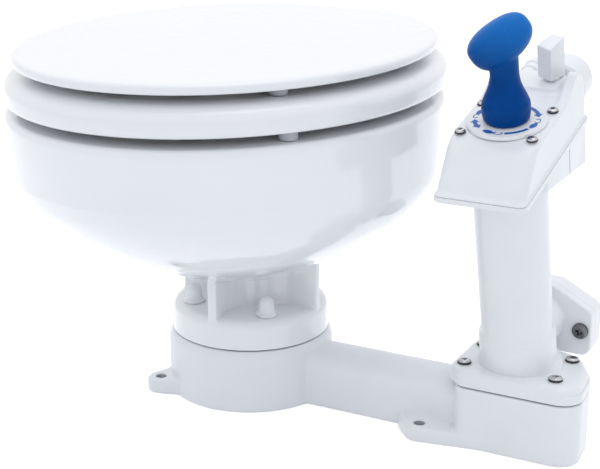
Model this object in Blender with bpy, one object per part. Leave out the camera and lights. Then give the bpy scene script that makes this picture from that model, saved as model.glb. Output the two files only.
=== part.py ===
"""Manual marine toilet: a bowl on a base casting, with a tilted hand pump beside it.

Frame: metres, +Z up, +X from the bowl towards the pump, -Y towards the user.
Origin: on the floor, on the axis of the drum that carries the bowl.
"""
import math

import bmesh
import bpy
from mathutils import Matrix, Vector

# Fits shared by all pieces
touch_gap = 0.0003
slide_gap = 0.0004
overrun = 0.004
merge_distance = 0.000001

# Counts of facets
oval_segments = 36
round_segments = 20
small_segments = 8
corner_steps = 3
channel_steps = 8

# Base casting: drum, channel, pump block and ears
drum_radius = 0.070
drum_seat_radius = 0.0665
drum_shoulder = 0.007
base_height = 0.053
base_floor = 0.008
well_radius = 0.030
channel_half_width = 0.0235
channel_step = 0.005
channel_crown = 0.016
passage_radius = 0.0140
passage_rise = 0.0240
pump_well_radius = 0.0155
pump_x = 0.241
pump_y = 0.001
block_left = 0.0405
block_right = 0.0595
block_half_depth = 0.0395
block_corner = 0.012
block_front_corner = 0.0175
block_end_radius = 0.036
block_end_setback = 0.0015
block_back_corner = 0.030
block_back_setback = 0.0079
block_segments = 40
block_step = 0.003
ear_thickness = 0.012
ear_radius = 0.0115
ear_hole_radius = 0.0045
drum_ear_x = 0.059
drum_ear_y = 0.053
drum_ear_root_share = 0.7
drum_ear_root_radius = 0.022
pump_ear_x = 0.174
pump_ear_y = 0.036
pump_ear_web_radius = 0.024
pump_ear_run = 0.054

# Bowl foot fastening
foot_bolt_x = 0.035
foot_bolt_y = 0.035
foot_bolt_radius = 0.0028
foot_bolt_grip = 0.020
foot_bolt_head_radius = 0.0050
foot_bolt_head_height = 0.004
washer_radius = 0.0066
washer_thickness = 0.0012
cap_flange_radius = 0.0090
cap_flange_height = 0.0028
cap_dome_radius = 0.0072
cap_height = 0.0160
cap_wall = 0.0012

# Bowl
bowl_gasket_thickness = 0.0012
foot_thickness = 0.0235
foot_edge = 0.0070
core_radius = 0.030
core_height = 0.0315
web_thickness = 0.008
web_reach = 0.0645
web_cover = 0.0045
wall_foot = 0.1605
bowl_height = 0.2055
bowl_half_width = 0.1665
bowl_front = 0.2015
bowl_back = 0.190
bowl_centre_y = -0.0245
bowl_back_limit = 0.158
rim_edge = 0.006
rim_side_width = 0.0495
rim_front = 0.154
rim_back = 0.122
rim_lip_depth = 0.030
rim_lip_edge = 0.006
rim_channel_depth = 0.014
rim_channel_width = 0.014
sump_height = 0.067
outlet_radius = 0.019
underside_shares = (
    (0.0, 0.09, 0.09), (0.05, 0.18, 0.205), (0.12, 0.285, 0.32), (0.20, 0.405, 0.425),
    (0.31, 0.56, 0.55), (0.46, 0.735, 0.69), (0.65, 0.90, 0.83), (0.84, 0.985, 0.94), (1.0, 1.0, 1.0))
inside_shares = (
    (1.0, 1.0), (0.66, 0.92), (0.42, 0.78), (0.22, 0.58), (0.09, 0.34), (0.025, 0.14), (0.0, 0.0))

# Bowl water inlet at the back
inlet_drop = 0.026
spud_bore_radius = 0.0075
spud_radius = 0.0070
spud_flange_radius = 0.0140
spud_flange_thickness = 0.004
spud_tail_radius = 0.0095
spud_tail_length = 0.026
spud_insert = 0.022

# Seat
seat_lift = 0.0077
seat_thickness = 0.0223
seat_side_setback = 0.0004
seat_front = 0.2015
seat_back_reach = 0.0125
seat_back_limit = 0.162
seat_ring_width = 0.0605
seat_hole_front = 0.138
seat_hole_back = 0.105
seat_bumper_margin = 0.009
seat_bumper_front_y = 0.145
seat_bumper_rear_y = 0.070
bumper_radius = 0.0070
bumper_crown = 0.0012

# Lid
lid_lift = 0.0067
lid_thickness = 0.0078
lid_side_setback = 0.0093
lid_front_setback = 0.0055
lid_back_setback = 0.0055
lid_bumper_x = 0.104
lid_bumper_front_y = 0.140
lid_bumper_rear_y = 0.072

# Hinge behind seat and lid
hinge_y = 0.170
hinge_drop = 0.0116
hinge_spacing = 0.0675
knuckle_radius = 0.0065
pin_radius = 0.0025
pin_clearance = 0.0003
post_width = 0.012
lug_width = 0.007
lug_clearance = 0.001
seat_lug_reach = 0.020
lid_lug_reach = 0.014
lid_lug_tip_radius = 0.0034
pad_front_y = 0.128
pad_thickness = 0.0060
pad_heel_setback = 0.0035
pad_heel_radius = 0.0028
hinge_bolt_y = 0.139
hinge_bolt_radius = 0.0030
hinge_bolt_head_radius = 0.0055
hinge_bolt_head_height = 0.0016
hinge_bolt_depth = 0.030

# Pump: tilt, flange, barrel and rear outlet flange
pump_tilt_degrees = 15
pump_gasket_thickness = 0.0012
pump_flange_thickness = 0.0115
pump_flange_edge = 0.004
pump_axis_setback = 0.001
pump_screw_x = 0.037
pump_screw_y = 0.0213
pump_lobe_radius = 0.0105
barrel_root = 0.014
barrel_radius = 0.0275
barrel_bore_radius = 0.0225
barrel_length = 0.176
collar_radius = 0.0298
collar_height = 0.030
collar_blend = 0.006
flare_height = 0.012
outlet_rise = 0.0215
outlet_boss_radius = 0.0215
outlet_bore_radius = 0.0160
outlet_plate_y = 0.048
outlet_plate_thickness = 0.0078
outlet_plate_half_width = 0.0435
outlet_plate_bottom = 0.0585
outlet_plate_shoulder = 0.099
outlet_plate_top = 0.1135
outlet_plate_corner = 0.008
elbow_screw_x = 0.0347
elbow_screw_z = 0.0795

# Pump head, in the pump's tilted frame: y across the head, z along the barrel
head_half_width = 0.0345
head_front = 0.0630
head_rear = 0.0820
head_corner = 0.0040
head_flange_thickness = 0.0045
head_flange_rise = 0.0040
head_flange_edge = 0.0012
casing_inset = 0.0014
casing_front = 0.014
casing_depth = 0.0183
casing_blend_depth = 0.010
valve_gasket_thickness = 0.0010
valve_gasket_inset = 0.003
cover_inset = 0.0018
cover_height = 0.0297
cover_wall = 0.0034
cover_front_shares = (
    (0.0, 0.0, 0.0), (0.25, 0.17, 0.0), (0.50, 0.38, 0.0), (0.72, 0.57, 0.0), (0.87, 0.76, 0.0),
    (0.95, 0.98, 0.3), (1.0, 1.30, 1.0))
cover_front_slope = 0.030
cover_corner = 0.0035
cover_front_corner = 0.0125
cover_edge = 0.0014
shoulder_height = 0.0125
shoulder_width = 0.0068
shoulder_start_y = 0.028
shoulder_peak_y = 0.0625
shoulder_rise_shares = ((0.46, 0.27), (1.0, 1.0))
shoulder_rear_share = 0.55
platform_height = 0.0035
platform_half_width = 0.019
platform_front_y = 0.050
chamber_half_width = 0.016
chamber_front_y = 0.038
chamber_rear_y = 0.070
chamber_depth = 0.020
head_screw_x = 0.0265
head_screw_y = 0.0225
pillar_radius = 0.0043

# Piston, rod and seals
piston_rest = 0.024
piston_length = 0.016
ring_wire_radius = 0.0017
ring_groove_width = 0.0044
rod_radius = 0.006
rod_insert = 0.011
dial_radius = 0.0288
dial_thickness = 0.0024
dial_edge = 0.0008
dial_spigot_radius = 0.0130
dial_spigot_length = 0.014
rod_seal_radius = 0.0098
rod_seal_thickness = 0.004

# Handle
handle_foot_radius = 0.0168
handle_grip_radius = 0.0175
handle_neck_radius = 0.0103
handle_grip_height = 0.013
handle_neck_height = 0.034
handle_height = 0.060
handle_foot_edge = 0.0015
knob_length = 0.0258
knob_breadth = 0.0170
knob_depth = 0.0165
knob_height = 0.0600
knob_tilt_degrees = 37
knob_shift = -0.0026
knob_top_share = 0.83
knob_under_share = 1.03
knob_taper_share = 0.11
knob_end_share = 0.86
knob_flat_share = 0.78
handle_socket_depth = 0.020

# Flush lever, its shaft and cam
lever_x = 0.0108
lever_y = 0.0680
lever_length = 0.0185
lever_width = 0.0136
lever_height = 0.031
lever_corner = 0.0015
lever_turn_degrees = -18
lever_shaft_radius = 0.0035
lever_shaft_length = 0.024
cam_radius = 0.0060
cam_throw = 0.0030
cam_thickness = 0.005

# Hose fittings behind the head
intake_x = 0.012
intake_nut_clearance = 0.0010
intake_nut_radius = 0.0195
intake_nut_length = 0.026
intake_tail_setback = 0.013
intake_spigot_radius = 0.0082
intake_nut_edge = 0.006
intake_tail_radius = 0.0100
intake_tail_bore = 0.0070
intake_tail_drop = 0.040
outlet_x = -0.0200
outlet_tail_rise = 0.0180
outlet_nut_radius = 0.0085
outlet_nut_length = 0.008
outlet_tail_radius = 0.0075
outlet_tail_bore = 0.0045
outlet_tail_length = 0.034
outlet_spigot_radius = 0.0058
fitting_spigot_length = 0.0042

# Discharge elbow and joker valve
housing_depth = 0.0235
housing_edge = 0.007
knee_radius = 0.0205
knee_y = 0.0880
discharge_tail_length = 0.0540
barb_height = 0.0012
barb_pitch = 0.009
joker_flange_radius = 0.0200
joker_flange_thickness = 0.0024
joker_wall = 0.0014
joker_length = 0.026
joker_lip_half_gap = 0.0004
joker_bend_share = 0.92

# Flap valve at the pump's foot
flap_radius = 0.0185
flap_thickness = 0.0020
flap_tab_half_width = 0.0045
flap_hinge_gap = 0.001
flap_weight_radius = 0.0105
flap_weight_height = 0.0055

# Screws
screw_head_radius = 0.0056
screw_head_height = 0.0032
screw_shank_radius = 0.0019
base_screw_length = 0.026
head_screw_head_radius = 0.0040
head_screw_head_height = 0.0026
head_screw_length = 0.038
elbow_screw_head_radius = 0.0066
elbow_screw_head_height = 0.0034
elbow_screw_length = 0.020
screw_hole_clearance = 0.0004

# Heights that follow from the stack of pieces
block_height = base_height - block_step
channel_height = base_height - channel_step
foot_bottom = base_height + bowl_gasket_thickness + 2 * touch_gap
foot_top = foot_bottom + foot_thickness
core_top = foot_top + core_height
rim_top = foot_bottom + bowl_height - touch_gap
wall_bottom = foot_bottom + wall_foot
sump_z = foot_bottom + sump_height
rim_half_width = bowl_half_width - rim_side_width
seat_half_width = bowl_half_width - seat_side_setback
seat_hole_half_width = seat_half_width - seat_ring_width
seat_bumper_x = seat_hole_half_width + seat_bumper_margin
seat_back = bowl_back + seat_back_reach
lid_half_width = seat_half_width - lid_side_setback
lid_front = seat_front - lid_front_setback
lid_back = seat_back - lid_back_setback
seat_bottom = rim_top + seat_lift
seat_top = seat_bottom + seat_thickness
lid_bottom = seat_top + lid_lift
lid_top = lid_bottom + lid_thickness
hinge_z = seat_top - hinge_drop
pump_flange_bottom = block_height + pump_gasket_thickness + 2 * touch_gap
pump_flange_top = pump_flange_bottom + pump_flange_thickness
outlet_z = pump_flange_top + outlet_rise
head_flange_height = barrel_length + head_flange_rise
cover_bottom = head_flange_height + valve_gasket_thickness + 2 * touch_gap
cover_top = cover_bottom + cover_height
platform_top = cover_top + platform_height
intake_height = head_flange_height + intake_nut_radius + intake_nut_clearance
outlet_height = head_flange_height + outlet_tail_rise
dial_bottom = cover_top + touch_gap
dial_top = dial_bottom + dial_thickness
handle_bottom = dial_top + touch_gap
tilt = math.radians(pump_tilt_degrees)
barrel_y = pump_y + pump_axis_setback
valve_y = barrel_y + pump_flange_thickness * math.tan(tilt)

FINISHES = {
    "white_plastic": ((0.86, 0.87, 0.88), 0.32, 0.0),
    "white_ceramic": ((0.90, 0.91, 0.92), 0.10, 0.0),
    "white_enamel": ((0.91, 0.91, 0.92), 0.16, 0.0),
    "blue_plastic": ((0.005, 0.085, 0.34), 0.42, 0.0),
    "black_rubber": ((0.02, 0.02, 0.022), 0.75, 0.0),
    "grey_rubber": ((0.35, 0.36, 0.37), 0.70, 0.0),
    "stainless": ((0.62, 0.62, 0.63), 0.28, 1.0),
    "brass": ((0.72, 0.55, 0.25), 0.35, 1.0),
}


def clear_scene():
    for item in list(bpy.data.objects):
        bpy.data.objects.remove(item, do_unlink=True)


def finish_material(name):
    """The material of one finish, made once."""
    found = bpy.data.materials.get(name)
    if found:
        return found
    colour, roughness, metallic = FINISHES[name]
    made = bpy.data.materials.new(name)
    made.use_nodes = True
    shader = made.node_tree.nodes["Principled BSDF"]
    shader.inputs["Base Color"].default_value = (*colour, 1.0)
    shader.inputs["Roughness"].default_value = roughness
    shader.inputs["Metallic"].default_value = metallic
    return made


def frame_empty(name, place, rotation=(0.0, 0.0, 0.0), parent=None):
    """An empty that marks a frame or a joint's axis."""
    empty = bpy.data.objects.new(name, None)
    bpy.context.collection.objects.link(empty)
    empty.parent = parent
    empty.location = place
    empty.rotation_euler = rotation
    bpy.context.view_layer.update()
    return empty


def solid(name, bm, finish="white_plastic", parent=None, sharp_degrees=35):
    """Turn a bmesh into a linked object, shaded smooth but for its sharp edges."""
    bmesh.ops.recalc_face_normals(bm, faces=bm.faces)
    mesh = bpy.data.meshes.new(name)
    bm.to_mesh(mesh)
    bm.free()
    mesh.shade_smooth()
    mesh.set_sharp_from_angle(angle=math.radians(sharp_degrees))
    mesh.materials.append(finish_material(finish))
    made = bpy.data.objects.new(name, mesh)
    bpy.context.collection.objects.link(made)
    made.parent = parent
    bpy.context.view_layer.update()
    return made


def boolean(target, tool, operation):
    """Join or cut one solid with another, which is used up."""
    tool.hide_render = True
    tool.display_type = 'WIRE'
    change = target.modifiers.new(operation.lower(), 'BOOLEAN')
    change.operation = operation
    change.solver = 'EXACT'
    change.object = tool
    bpy.context.view_layer.update()
    depsgraph = bpy.context.evaluated_depsgraph_get()
    result = bpy.data.meshes.new_from_object(target.evaluated_get(depsgraph))
    old = target.data
    target.modifiers.clear()
    target.data = result
    bpy.data.meshes.remove(old)
    bpy.data.objects.remove(tool, do_unlink=True)
    result.shade_smooth()
    result.set_sharp_from_angle(angle=math.radians(35))
    while len(result.materials) > 1:
        result.materials.pop()


def join(target, *tools):
    for tool in tools:
        boolean(target, tool, 'UNION')


def cut(target, *tools):
    for tool in tools:
        boolean(target, tool, 'DIFFERENCE')


def turned(profile, steps=round_segments, closed=False):
    """Spin a profile of (radius, height) points about Z."""
    bm = bmesh.new()
    points = [bm.verts.new((radius, 0.0, height)) for radius, height in profile]
    edges = [bm.edges.new(pair) for pair in zip(points, points[1:])]
    if closed:
        edges.append(bm.edges.new((points[-1], points[0])))
    bmesh.ops.spin(bm, geom=points + edges, cent=(0.0, 0.0, 0.0), axis=(0.0, 0.0, 1.0),
                   angle=2 * math.pi, steps=steps, use_merge=True, use_duplicate=False)
    bmesh.ops.remove_doubles(bm, verts=bm.verts, dist=merge_distance)
    return bm


def cylinder(radius, bottom, top, steps=round_segments):
    return turned([(0.0, bottom), (radius, bottom), (radius, top), (0.0, top)], steps)


def lofted(rings, closed=False):
    """Extrude a ring through a row of rings, and cap both ends or close the row."""
    bm = bmesh.new()
    row = [bm.verts.new(point) for point in rings[0]]
    edges = [bm.edges.new(pair) for pair in zip(row, row[1:] + row[:1])]
    if not closed:
        bm.faces.new(row)
    for ring in rings[1:] + (rings[:1] if closed else []):
        made = set(bmesh.ops.extrude_edge_only(bm, edges=edges)["geom"])
        row = [next(e.other_vert(v) for e in v.link_edges if e.other_vert(v) in made) for v in row]
        edges = [bm.edges.get(pair) for pair in zip(row, row[1:] + row[:1])]
        for vert, point in zip(row, ring):
            vert.co = point
    if closed:
        bmesh.ops.remove_doubles(bm, verts=bm.verts, dist=merge_distance)
    else:
        bm.faces.new(row)
    return bm


def extruded(outline, direction):
    """Extrude a closed outline of 3-D points along a vector."""
    bm = bmesh.new()
    face = bm.faces.new([bm.verts.new(point) for point in outline])
    far = bmesh.ops.extrude_face_region(bm, geom=[face])
    bmesh.ops.translate(bm, verts=[v for v in far["geom"] if isinstance(v, bmesh.types.BMVert)],
                        vec=Vector(direction))
    return bm


def prism(outline, bottom, top):
    """Extrude an outline of (x, y) points from one height to another."""
    return extruded([(x, y, bottom) for x, y in outline], (0.0, 0.0, top - bottom))


def arc(centre_x, centre_y, radius, start, end, steps):
    return [(centre_x + radius * math.cos(math.radians(start + (end - start) * i / steps)),
             centre_y + radius * math.sin(math.radians(start + (end - start) * i / steps)))
            for i in range(steps + 1)]


def rounded_box(x_low, x_high, y_low, y_high, corner):
    """Outline of a rectangle with round corners, counter-clockwise from the low right corner."""
    return (arc(x_high - corner, y_low + corner, corner, -90, 0, corner_steps)
            + arc(x_high - corner, y_high - corner, corner, 0, 90, corner_steps)
            + arc(x_low + corner, y_high - corner, corner, 90, 180, corner_steps)
            + arc(x_low + corner, y_low + corner, corner, 180, 270, corner_steps))


def hull(points):
    """The convex solid round a set of 3-D points."""
    bm = bmesh.new()
    verts = [bm.verts.new(point) for point in points]
    wrapped = bmesh.ops.convex_hull(bm, input=verts)
    loose = {v for v in wrapped["geom_interior"] + wrapped["geom_unused"]
             if isinstance(v, bmesh.types.BMVert)}
    bmesh.ops.delete(bm, geom=list(loose), context='VERTS')
    bmesh.ops.dissolve_limit(bm, angle_limit=math.radians(0.5), verts=bm.verts, edges=bm.edges)
    return bm


def hull_plate(circles, bottom, top, steps=small_segments):
    """A plate round circles given as (x, y, radius)."""
    ring = [point for x, y, radius in circles for point in arc(x, y, radius, 0, 360, steps)[:-1]]
    return hull([(x, y, z) for x, y in ring for z in (bottom, top)])


def hull_across(circles, x_low, x_high, steps=small_segments):
    """A plate across X round circles given as (y, z, radius)."""
    ring = [point for y, z, radius in circles for point in arc(y, z, radius, 0, 360, steps)[:-1]]
    return hull([(x, y, z) for y, z in ring for x in (x_low, x_high)])


def moved(bm, matrix):
    bm.transform(matrix)
    return bm


def at(x, y, z=0.0):
    return Matrix.Translation((x, y, z))


def along_y(x, y, z):
    """Stand something turned about Z along +Y at a place."""
    return at(x, y, z) @ Matrix.Rotation(math.radians(-90), 4, 'X')


def along_x(x, y, z, sign=1):
    """Stand something turned about Z along +X or -X at a place."""
    return at(x, y, z) @ Matrix.Rotation(math.radians(90 * sign), 4, 'Y')


def oval(half_width, front, back, centre_y, z, limit, grow=0.0):
    """Ring of a seat outline: two half ellipses, flat at the back where a limit is reached."""
    points = []
    for i in range(oval_segments):
        turn = 2 * math.pi * i / oval_segments
        length = back if math.sin(turn) > 0 else front
        y = centre_y + (length + grow) * math.sin(turn)
        points.append((math.cos(turn) * (half_width + grow), min(y, limit + grow), z))
    return points


def blend(low, high, share):
    return low + (high - low) * share


# Base casting

def foot_bolt_places():
    return [(sx * foot_bolt_x, sy * foot_bolt_y) for sx in (-1, 1) for sy in (-1, 1)]


def pump_screw_places():
    return [(pump_x + sx * pump_screw_x, pump_y + sy * pump_screw_y)
            for sx in (-1, 1) for sy in (-1, 1)]


def channel_outline():
    """Flat-bottomed arch across the channel."""
    side = channel_height - channel_crown
    crown = [(-channel_half_width * math.cos(math.pi * i / channel_steps),
              side + channel_crown * math.sin(math.pi * i / channel_steps))
             for i in range(channel_steps + 1)]
    return [(0.0, y, z) for y, z in [(-channel_half_width, 0.0)] + crown + [(channel_half_width, 0.0)]]


def block_circles(grow=0.0):
    """Circles that the pump block's plan runs round: two small corners and a full, round far end."""
    low, high = pump_y - block_half_depth, pump_y + block_half_depth
    left, right = pump_x - block_left, pump_x + block_right
    end, back = right - block_end_setback, right - block_back_setback
    return [(x, y, radius + grow) for x, y, radius in (
        (left + block_corner, low + block_corner, block_corner),
        (left + block_corner, high - block_corner, block_corner),
        (right - block_front_corner, low + block_front_corner, block_front_corner),
        (end - block_end_radius, low + block_end_radius, block_end_radius),
        (back - block_back_corner, high - block_back_corner, block_back_corner))]


def make_base_casting():
    base = solid("base_casting", turned(
        [(0.0, 0.0), (drum_radius, 0.0), (drum_radius, base_height - drum_shoulder)]
        + [(blend(drum_radius, drum_seat_radius, share), base_height - drum_shoulder * (1 - rise))
           for share, rise in ((0.35, 0.5), (0.7, 0.8), (1.0, 1.0))]
        + [(0.0, base_height)], oval_segments))
    join(base, solid("channel", extruded(channel_outline(), (pump_x, 0.0, 0.0))))
    join(base, solid("pump_block", hull_plate(block_circles(), 0.0, block_height, block_segments)))
    for side in (-1, 1):
        root = drum_ear_root_share
        join(base, solid("drum_ear", hull_plate(
            [(-drum_ear_x, side * drum_ear_y, ear_radius),
             (-drum_ear_x * root, side * drum_ear_y * root, drum_ear_root_radius)],
            0.0, ear_thickness)))
        edge_y = side * (block_half_depth - block_corner) + pump_y
        join(base, solid("pump_ear", hull_plate(
            [(pump_ear_x, side * pump_ear_y, ear_radius),
             (pump_ear_x, side * pump_ear_y / 2, pump_ear_web_radius),
             (pump_ear_x + pump_ear_run, edge_y, ear_radius)],
            0.0, ear_thickness)))
    for x, y in ((-drum_ear_x, drum_ear_y), (pump_ear_x, pump_ear_y)):
        for side in (-1, 1):
            cut(base, solid("ear_hole", moved(
                cylinder(ear_hole_radius, -overrun, ear_thickness + overrun, small_segments),
                at(x, side * y))))
    cut(base, solid("drum_well", cylinder(well_radius, base_floor, base_height + overrun)))
    cut(base, solid("passage", moved(
        cylinder(passage_radius, 0.0, pump_x), along_x(0.0, valve_y, passage_rise))))
    cut(base, solid("pump_well", moved(
        cylinder(pump_well_radius, base_floor, block_height + overrun), at(pump_x, valve_y))))
    for x, y in foot_bolt_places():
        cut(base, solid("bolt_hole", moved(
            cylinder(foot_bolt_radius + touch_gap, base_height - foot_bolt_grip - touch_gap,
                     base_height + overrun, small_segments), at(x, y))))
    depth = base_screw_length - pump_flange_thickness - pump_gasket_thickness
    for x, y in pump_screw_places():
        cut(base, solid("screw_hole", moved(
            cylinder(screw_shank_radius + touch_gap, block_height - depth,
                     block_height + overrun, small_segments), at(x, y))))
    return base


def make_bowl_gasket():
    bottom = base_height + touch_gap
    top = bottom + bowl_gasket_thickness
    gasket = solid("bowl_gasket", turned(
        [(drum_seat_radius, bottom), (drum_seat_radius, top), (well_radius, top),
         (well_radius, bottom)], oval_segments, closed=True), "black_rubber")
    for x, y in foot_bolt_places():
        cut(gasket, solid("bolt_hole", moved(
            cylinder(foot_bolt_radius + touch_gap, bottom - overrun, top + overrun,
                     small_segments), at(x, y))))


# Bowl

def bowl_ring(z, spread, front_spread):
    """Ring of the bowl's outside, from the round core (0) to the full outline (1)."""
    return oval(blend(core_radius, bowl_half_width, spread),
                blend(core_radius, bowl_front, front_spread),
                blend(core_radius, bowl_back, spread), bowl_centre_y * spread, z, bowl_back_limit)


def inside_ring(z, grow):
    return oval(rim_half_width, rim_front, rim_back, bowl_centre_y, z, bowl_back_limit, grow)


def bowl_rings():
    rings = [bowl_ring(foot_top - foot_thickness / 2, 0.0, 0.0),
             bowl_ring(core_top - web_cover, 0.0, 0.0)]
    rings += [bowl_ring(blend(core_top, wall_bottom, rise), spread, front_spread)
              for rise, spread, front_spread in underside_shares]
    rings.append(bowl_ring(rim_top - rim_edge, 1.0, 1.0))
    rings += [oval(bowl_half_width, bowl_front, bowl_back, bowl_centre_y,
                   rim_top - rim_edge * (1 - math.sin(turn)), bowl_back_limit,
                   -rim_edge * (1 - math.cos(turn)))
              for turn in (math.radians(45), math.radians(90))]
    channel = rim_lip_edge + rim_channel_width
    rings += [inside_ring(rim_top, rim_lip_edge),
              inside_ring(rim_top - rim_lip_edge, 0.0),
              inside_ring(rim_top - rim_lip_depth, 0.0),
              inside_ring(rim_top - rim_lip_depth, rim_lip_edge),
              inside_ring(rim_top - rim_channel_depth, rim_lip_edge),
              inside_ring(rim_top - rim_channel_depth, channel)]
    inside_top = rim_top - rim_lip_depth - rim_lip_edge
    rings += [oval(blend(outlet_radius, rim_half_width + channel, spread),
                   blend(outlet_radius, rim_front + channel, spread),
                   blend(outlet_radius, rim_back + channel, spread),
                   bowl_centre_y * spread, blend(sump_z, inside_top, rise), bowl_back_limit)
              for rise, spread in inside_shares]
    return rings


def make_bowl():
    bowl = solid("bowl", lofted(bowl_rings()), "white_ceramic")
    foot_radius = drum_seat_radius
    foot_profile = ([(0.0, foot_bottom), (foot_radius, foot_bottom)]
                    + [(foot_radius - foot_edge * (1 - math.cos(turn)),
                        foot_top - foot_edge * (1 - math.sin(turn)))
                       for turn in (0.0, math.radians(30), math.radians(60), math.radians(90))]
                    + [(0.0, foot_top)])
    join(bowl, solid("foot", turned(foot_profile, oval_segments)))
    web_bottom = foot_top - foot_thickness / 2
    web_top = blend(core_top, wall_bottom, underside_shares[2][0]) + web_cover
    for quarter in range(4):
        web = prism([(core_radius / 2, -web_thickness / 2), (web_reach, -web_thickness / 2),
                     (web_reach, web_thickness / 2), (core_radius / 2, web_thickness / 2)],
                    web_bottom, web_top)
        join(bowl, solid("web", moved(web, Matrix.Rotation(math.radians(90 * quarter), 4, 'Z'))))
    cut(bowl, solid("outlet", cylinder(outlet_radius, foot_bottom - overrun, sump_z + overrun)))
    for x, y in foot_bolt_places():
        cut(bowl, solid("bolt_hole", moved(
            cylinder(foot_bolt_radius + touch_gap, foot_bottom - overrun, foot_top + overrun,
                     small_segments), at(x, y))))
    for side in (-1, 1):
        cut(bowl, solid("hinge_hole", moved(
            cylinder(hinge_bolt_radius + touch_gap, rim_top - hinge_bolt_depth, rim_top + overrun,
                     small_segments), at(side * hinge_spacing, hinge_bolt_y))))
    inner_back = bowl_centre_y + rim_back
    cut(bowl, solid("inlet_hole", moved(
        cylinder(spud_bore_radius, 0.0, bowl_back_limit - inner_back + overrun - rim_lip_edge,
                 small_segments),
        along_y(0.0, inner_back + rim_lip_edge * 2, rim_top - inlet_drop))))
    return bowl


def make_bowl_inlet_spud():
    outer = bowl_back_limit + touch_gap
    tail = outer + spud_flange_thickness + spud_tail_length
    profile = [(spud_radius * 0.7, outer - spud_insert), (spud_radius, outer - spud_insert),
               (spud_radius, outer), (spud_flange_radius, outer),
               (spud_flange_radius, outer + spud_flange_thickness)]
    profile += barbed(spud_tail_radius, outer + spud_flange_thickness, tail)
    profile += [(spud_radius * 0.7, tail)]
    solid("bowl_inlet_spud", moved(turned(profile, small_segments, closed=True),
                                   along_y(0.0, 0.0, rim_top - inlet_drop)))


def barbed(radius, start, end):
    """Profile of a hose tail with barbs, from its shoulder to its end."""
    count = max(1, int((end - start) / barb_pitch) - 1)
    points = [(radius - barb_height, start)]
    for i in range(count):
        foot = end - (count - i) * barb_pitch
        points += [(radius - barb_height, foot), (radius, foot + barb_pitch / 6)]
    points.append((radius - barb_height, end))
    return points


def make_foot_bolts():
    """Bolts through the bowl's foot, each under its domed cap."""
    bottom = base_height - foot_bolt_grip
    seat = foot_top + touch_gap
    head = seat + washer_thickness
    bolt_profile = [(0.0, bottom), (foot_bolt_radius, bottom), (foot_bolt_radius, seat),
                    (washer_radius, seat), (washer_radius, head), (foot_bolt_head_radius, head),
                    (foot_bolt_head_radius, head + foot_bolt_head_height),
                    (0.0, head + foot_bolt_head_height)]
    crown = seat + cap_height
    dome = crown - cap_dome_radius
    taper = cap_dome_radius * 0.88
    cap_profile = [(0.0, dome + taper)]
    cap_profile += [(taper * math.cos(math.radians(turn)), dome + taper * math.sin(math.radians(turn)))
                    for turn in (75, 55, 30, 0)]
    cap_profile += [(cap_dome_radius, seat + cap_flange_height),
                    (cap_flange_radius, seat + cap_flange_height / 2), (cap_flange_radius, seat),
                    (washer_radius + touch_gap, seat),
                    (washer_radius + touch_gap, seat + washer_thickness + touch_gap),
                    (cap_dome_radius - cap_wall * 2, dome - cap_wall),
                    (0.0, dome + taper - cap_wall)]
    for number, (x, y) in enumerate(foot_bolt_places(), 1):
        solid(f"bowl_bolt_{number}", moved(turned(bolt_profile, small_segments), at(x, y)),
              "stainless")
        solid(f"bolt_cap_{number}", moved(turned(cap_profile, small_segments), at(x, y)))


# Seat, lid and hinge

def seat_outer(z, inset):
    return oval(seat_half_width, seat_front, seat_back, bowl_centre_y, z,
                seat_back_limit, -inset)


def seat_inner(z, grow):
    return oval(seat_hole_half_width, seat_hole_front, seat_hole_back, bowl_centre_y, z,
                seat_back_limit, grow)


def make_seat(hinge):
    t = seat_thickness
    crown = [tuple(blend(a, b, 0.5) for a, b in zip(outer, inner))
             for outer, inner in zip(seat_outer(seat_top, 0.0), seat_inner(seat_top, 0.0))]
    rings = [seat_outer(seat_bottom, t * 0.16), seat_outer(seat_bottom + t * 0.1, t * 0.04),
             seat_outer(seat_bottom + t * 0.26, 0.0), seat_outer(seat_bottom + t * 0.5, 0.0),
             seat_outer(seat_bottom + t * 0.76, t * 0.14), seat_outer(seat_bottom + t * 0.93, t * 0.44),
             seat_outer(seat_bottom + t * 0.985, t * 0.85), crown,
             seat_inner(seat_bottom + t * 0.93, t * 0.42), seat_inner(seat_bottom + t * 0.72, t * 0.13),
             seat_inner(seat_bottom + t * 0.4, 0.0), seat_inner(seat_bottom, t * 0.12)]
    seat = solid("seat", lofted(rings, closed=True), "white_enamel")
    for side in (-1, 1):
        inner = hinge_spacing + post_width / 2 + lug_clearance
        span = sorted((side * inner, side * (inner + lug_width)))
        join(seat, solid("lug", hull_across(
            [(hinge_y, hinge_z, knuckle_radius),
             (hinge_y - seat_lug_reach, hinge_z - touch_gap, knuckle_radius * 0.85)], *span)))
    drill_pin_holes(seat)
    carry(seat, hinge)
    bumpers = [(side * seat_bumper_x, y) for y in (-seat_bumper_front_y, seat_bumper_rear_y)
               for side in (-1, 1)]
    for number, (x, y) in enumerate(bumpers, 1):
        carry(bumper(f"seat_bumper_{number}", x, y, rim_top + touch_gap, seat_bottom - touch_gap),
              hinge)
    return seat


def bumper(name, x, y, bottom, top):
    """Rubber button between two boards, narrower where it lands."""
    return solid(name, moved(turned(
        [(0.0, bottom), (bumper_radius - bumper_crown, bottom), (bumper_radius, bottom + bumper_crown),
         (bumper_radius, top), (0.0, top)], small_segments), at(x, y)), "grey_rubber")


def drill_pin_holes(target):
    for side in (-1, 1):
        cut(target, solid("pin_hole", moved(
            cylinder(pin_radius + pin_clearance, -hinge_spacing / 2, hinge_spacing / 2,
                     small_segments), along_x(side * hinge_spacing, hinge_y, hinge_z))))


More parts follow.
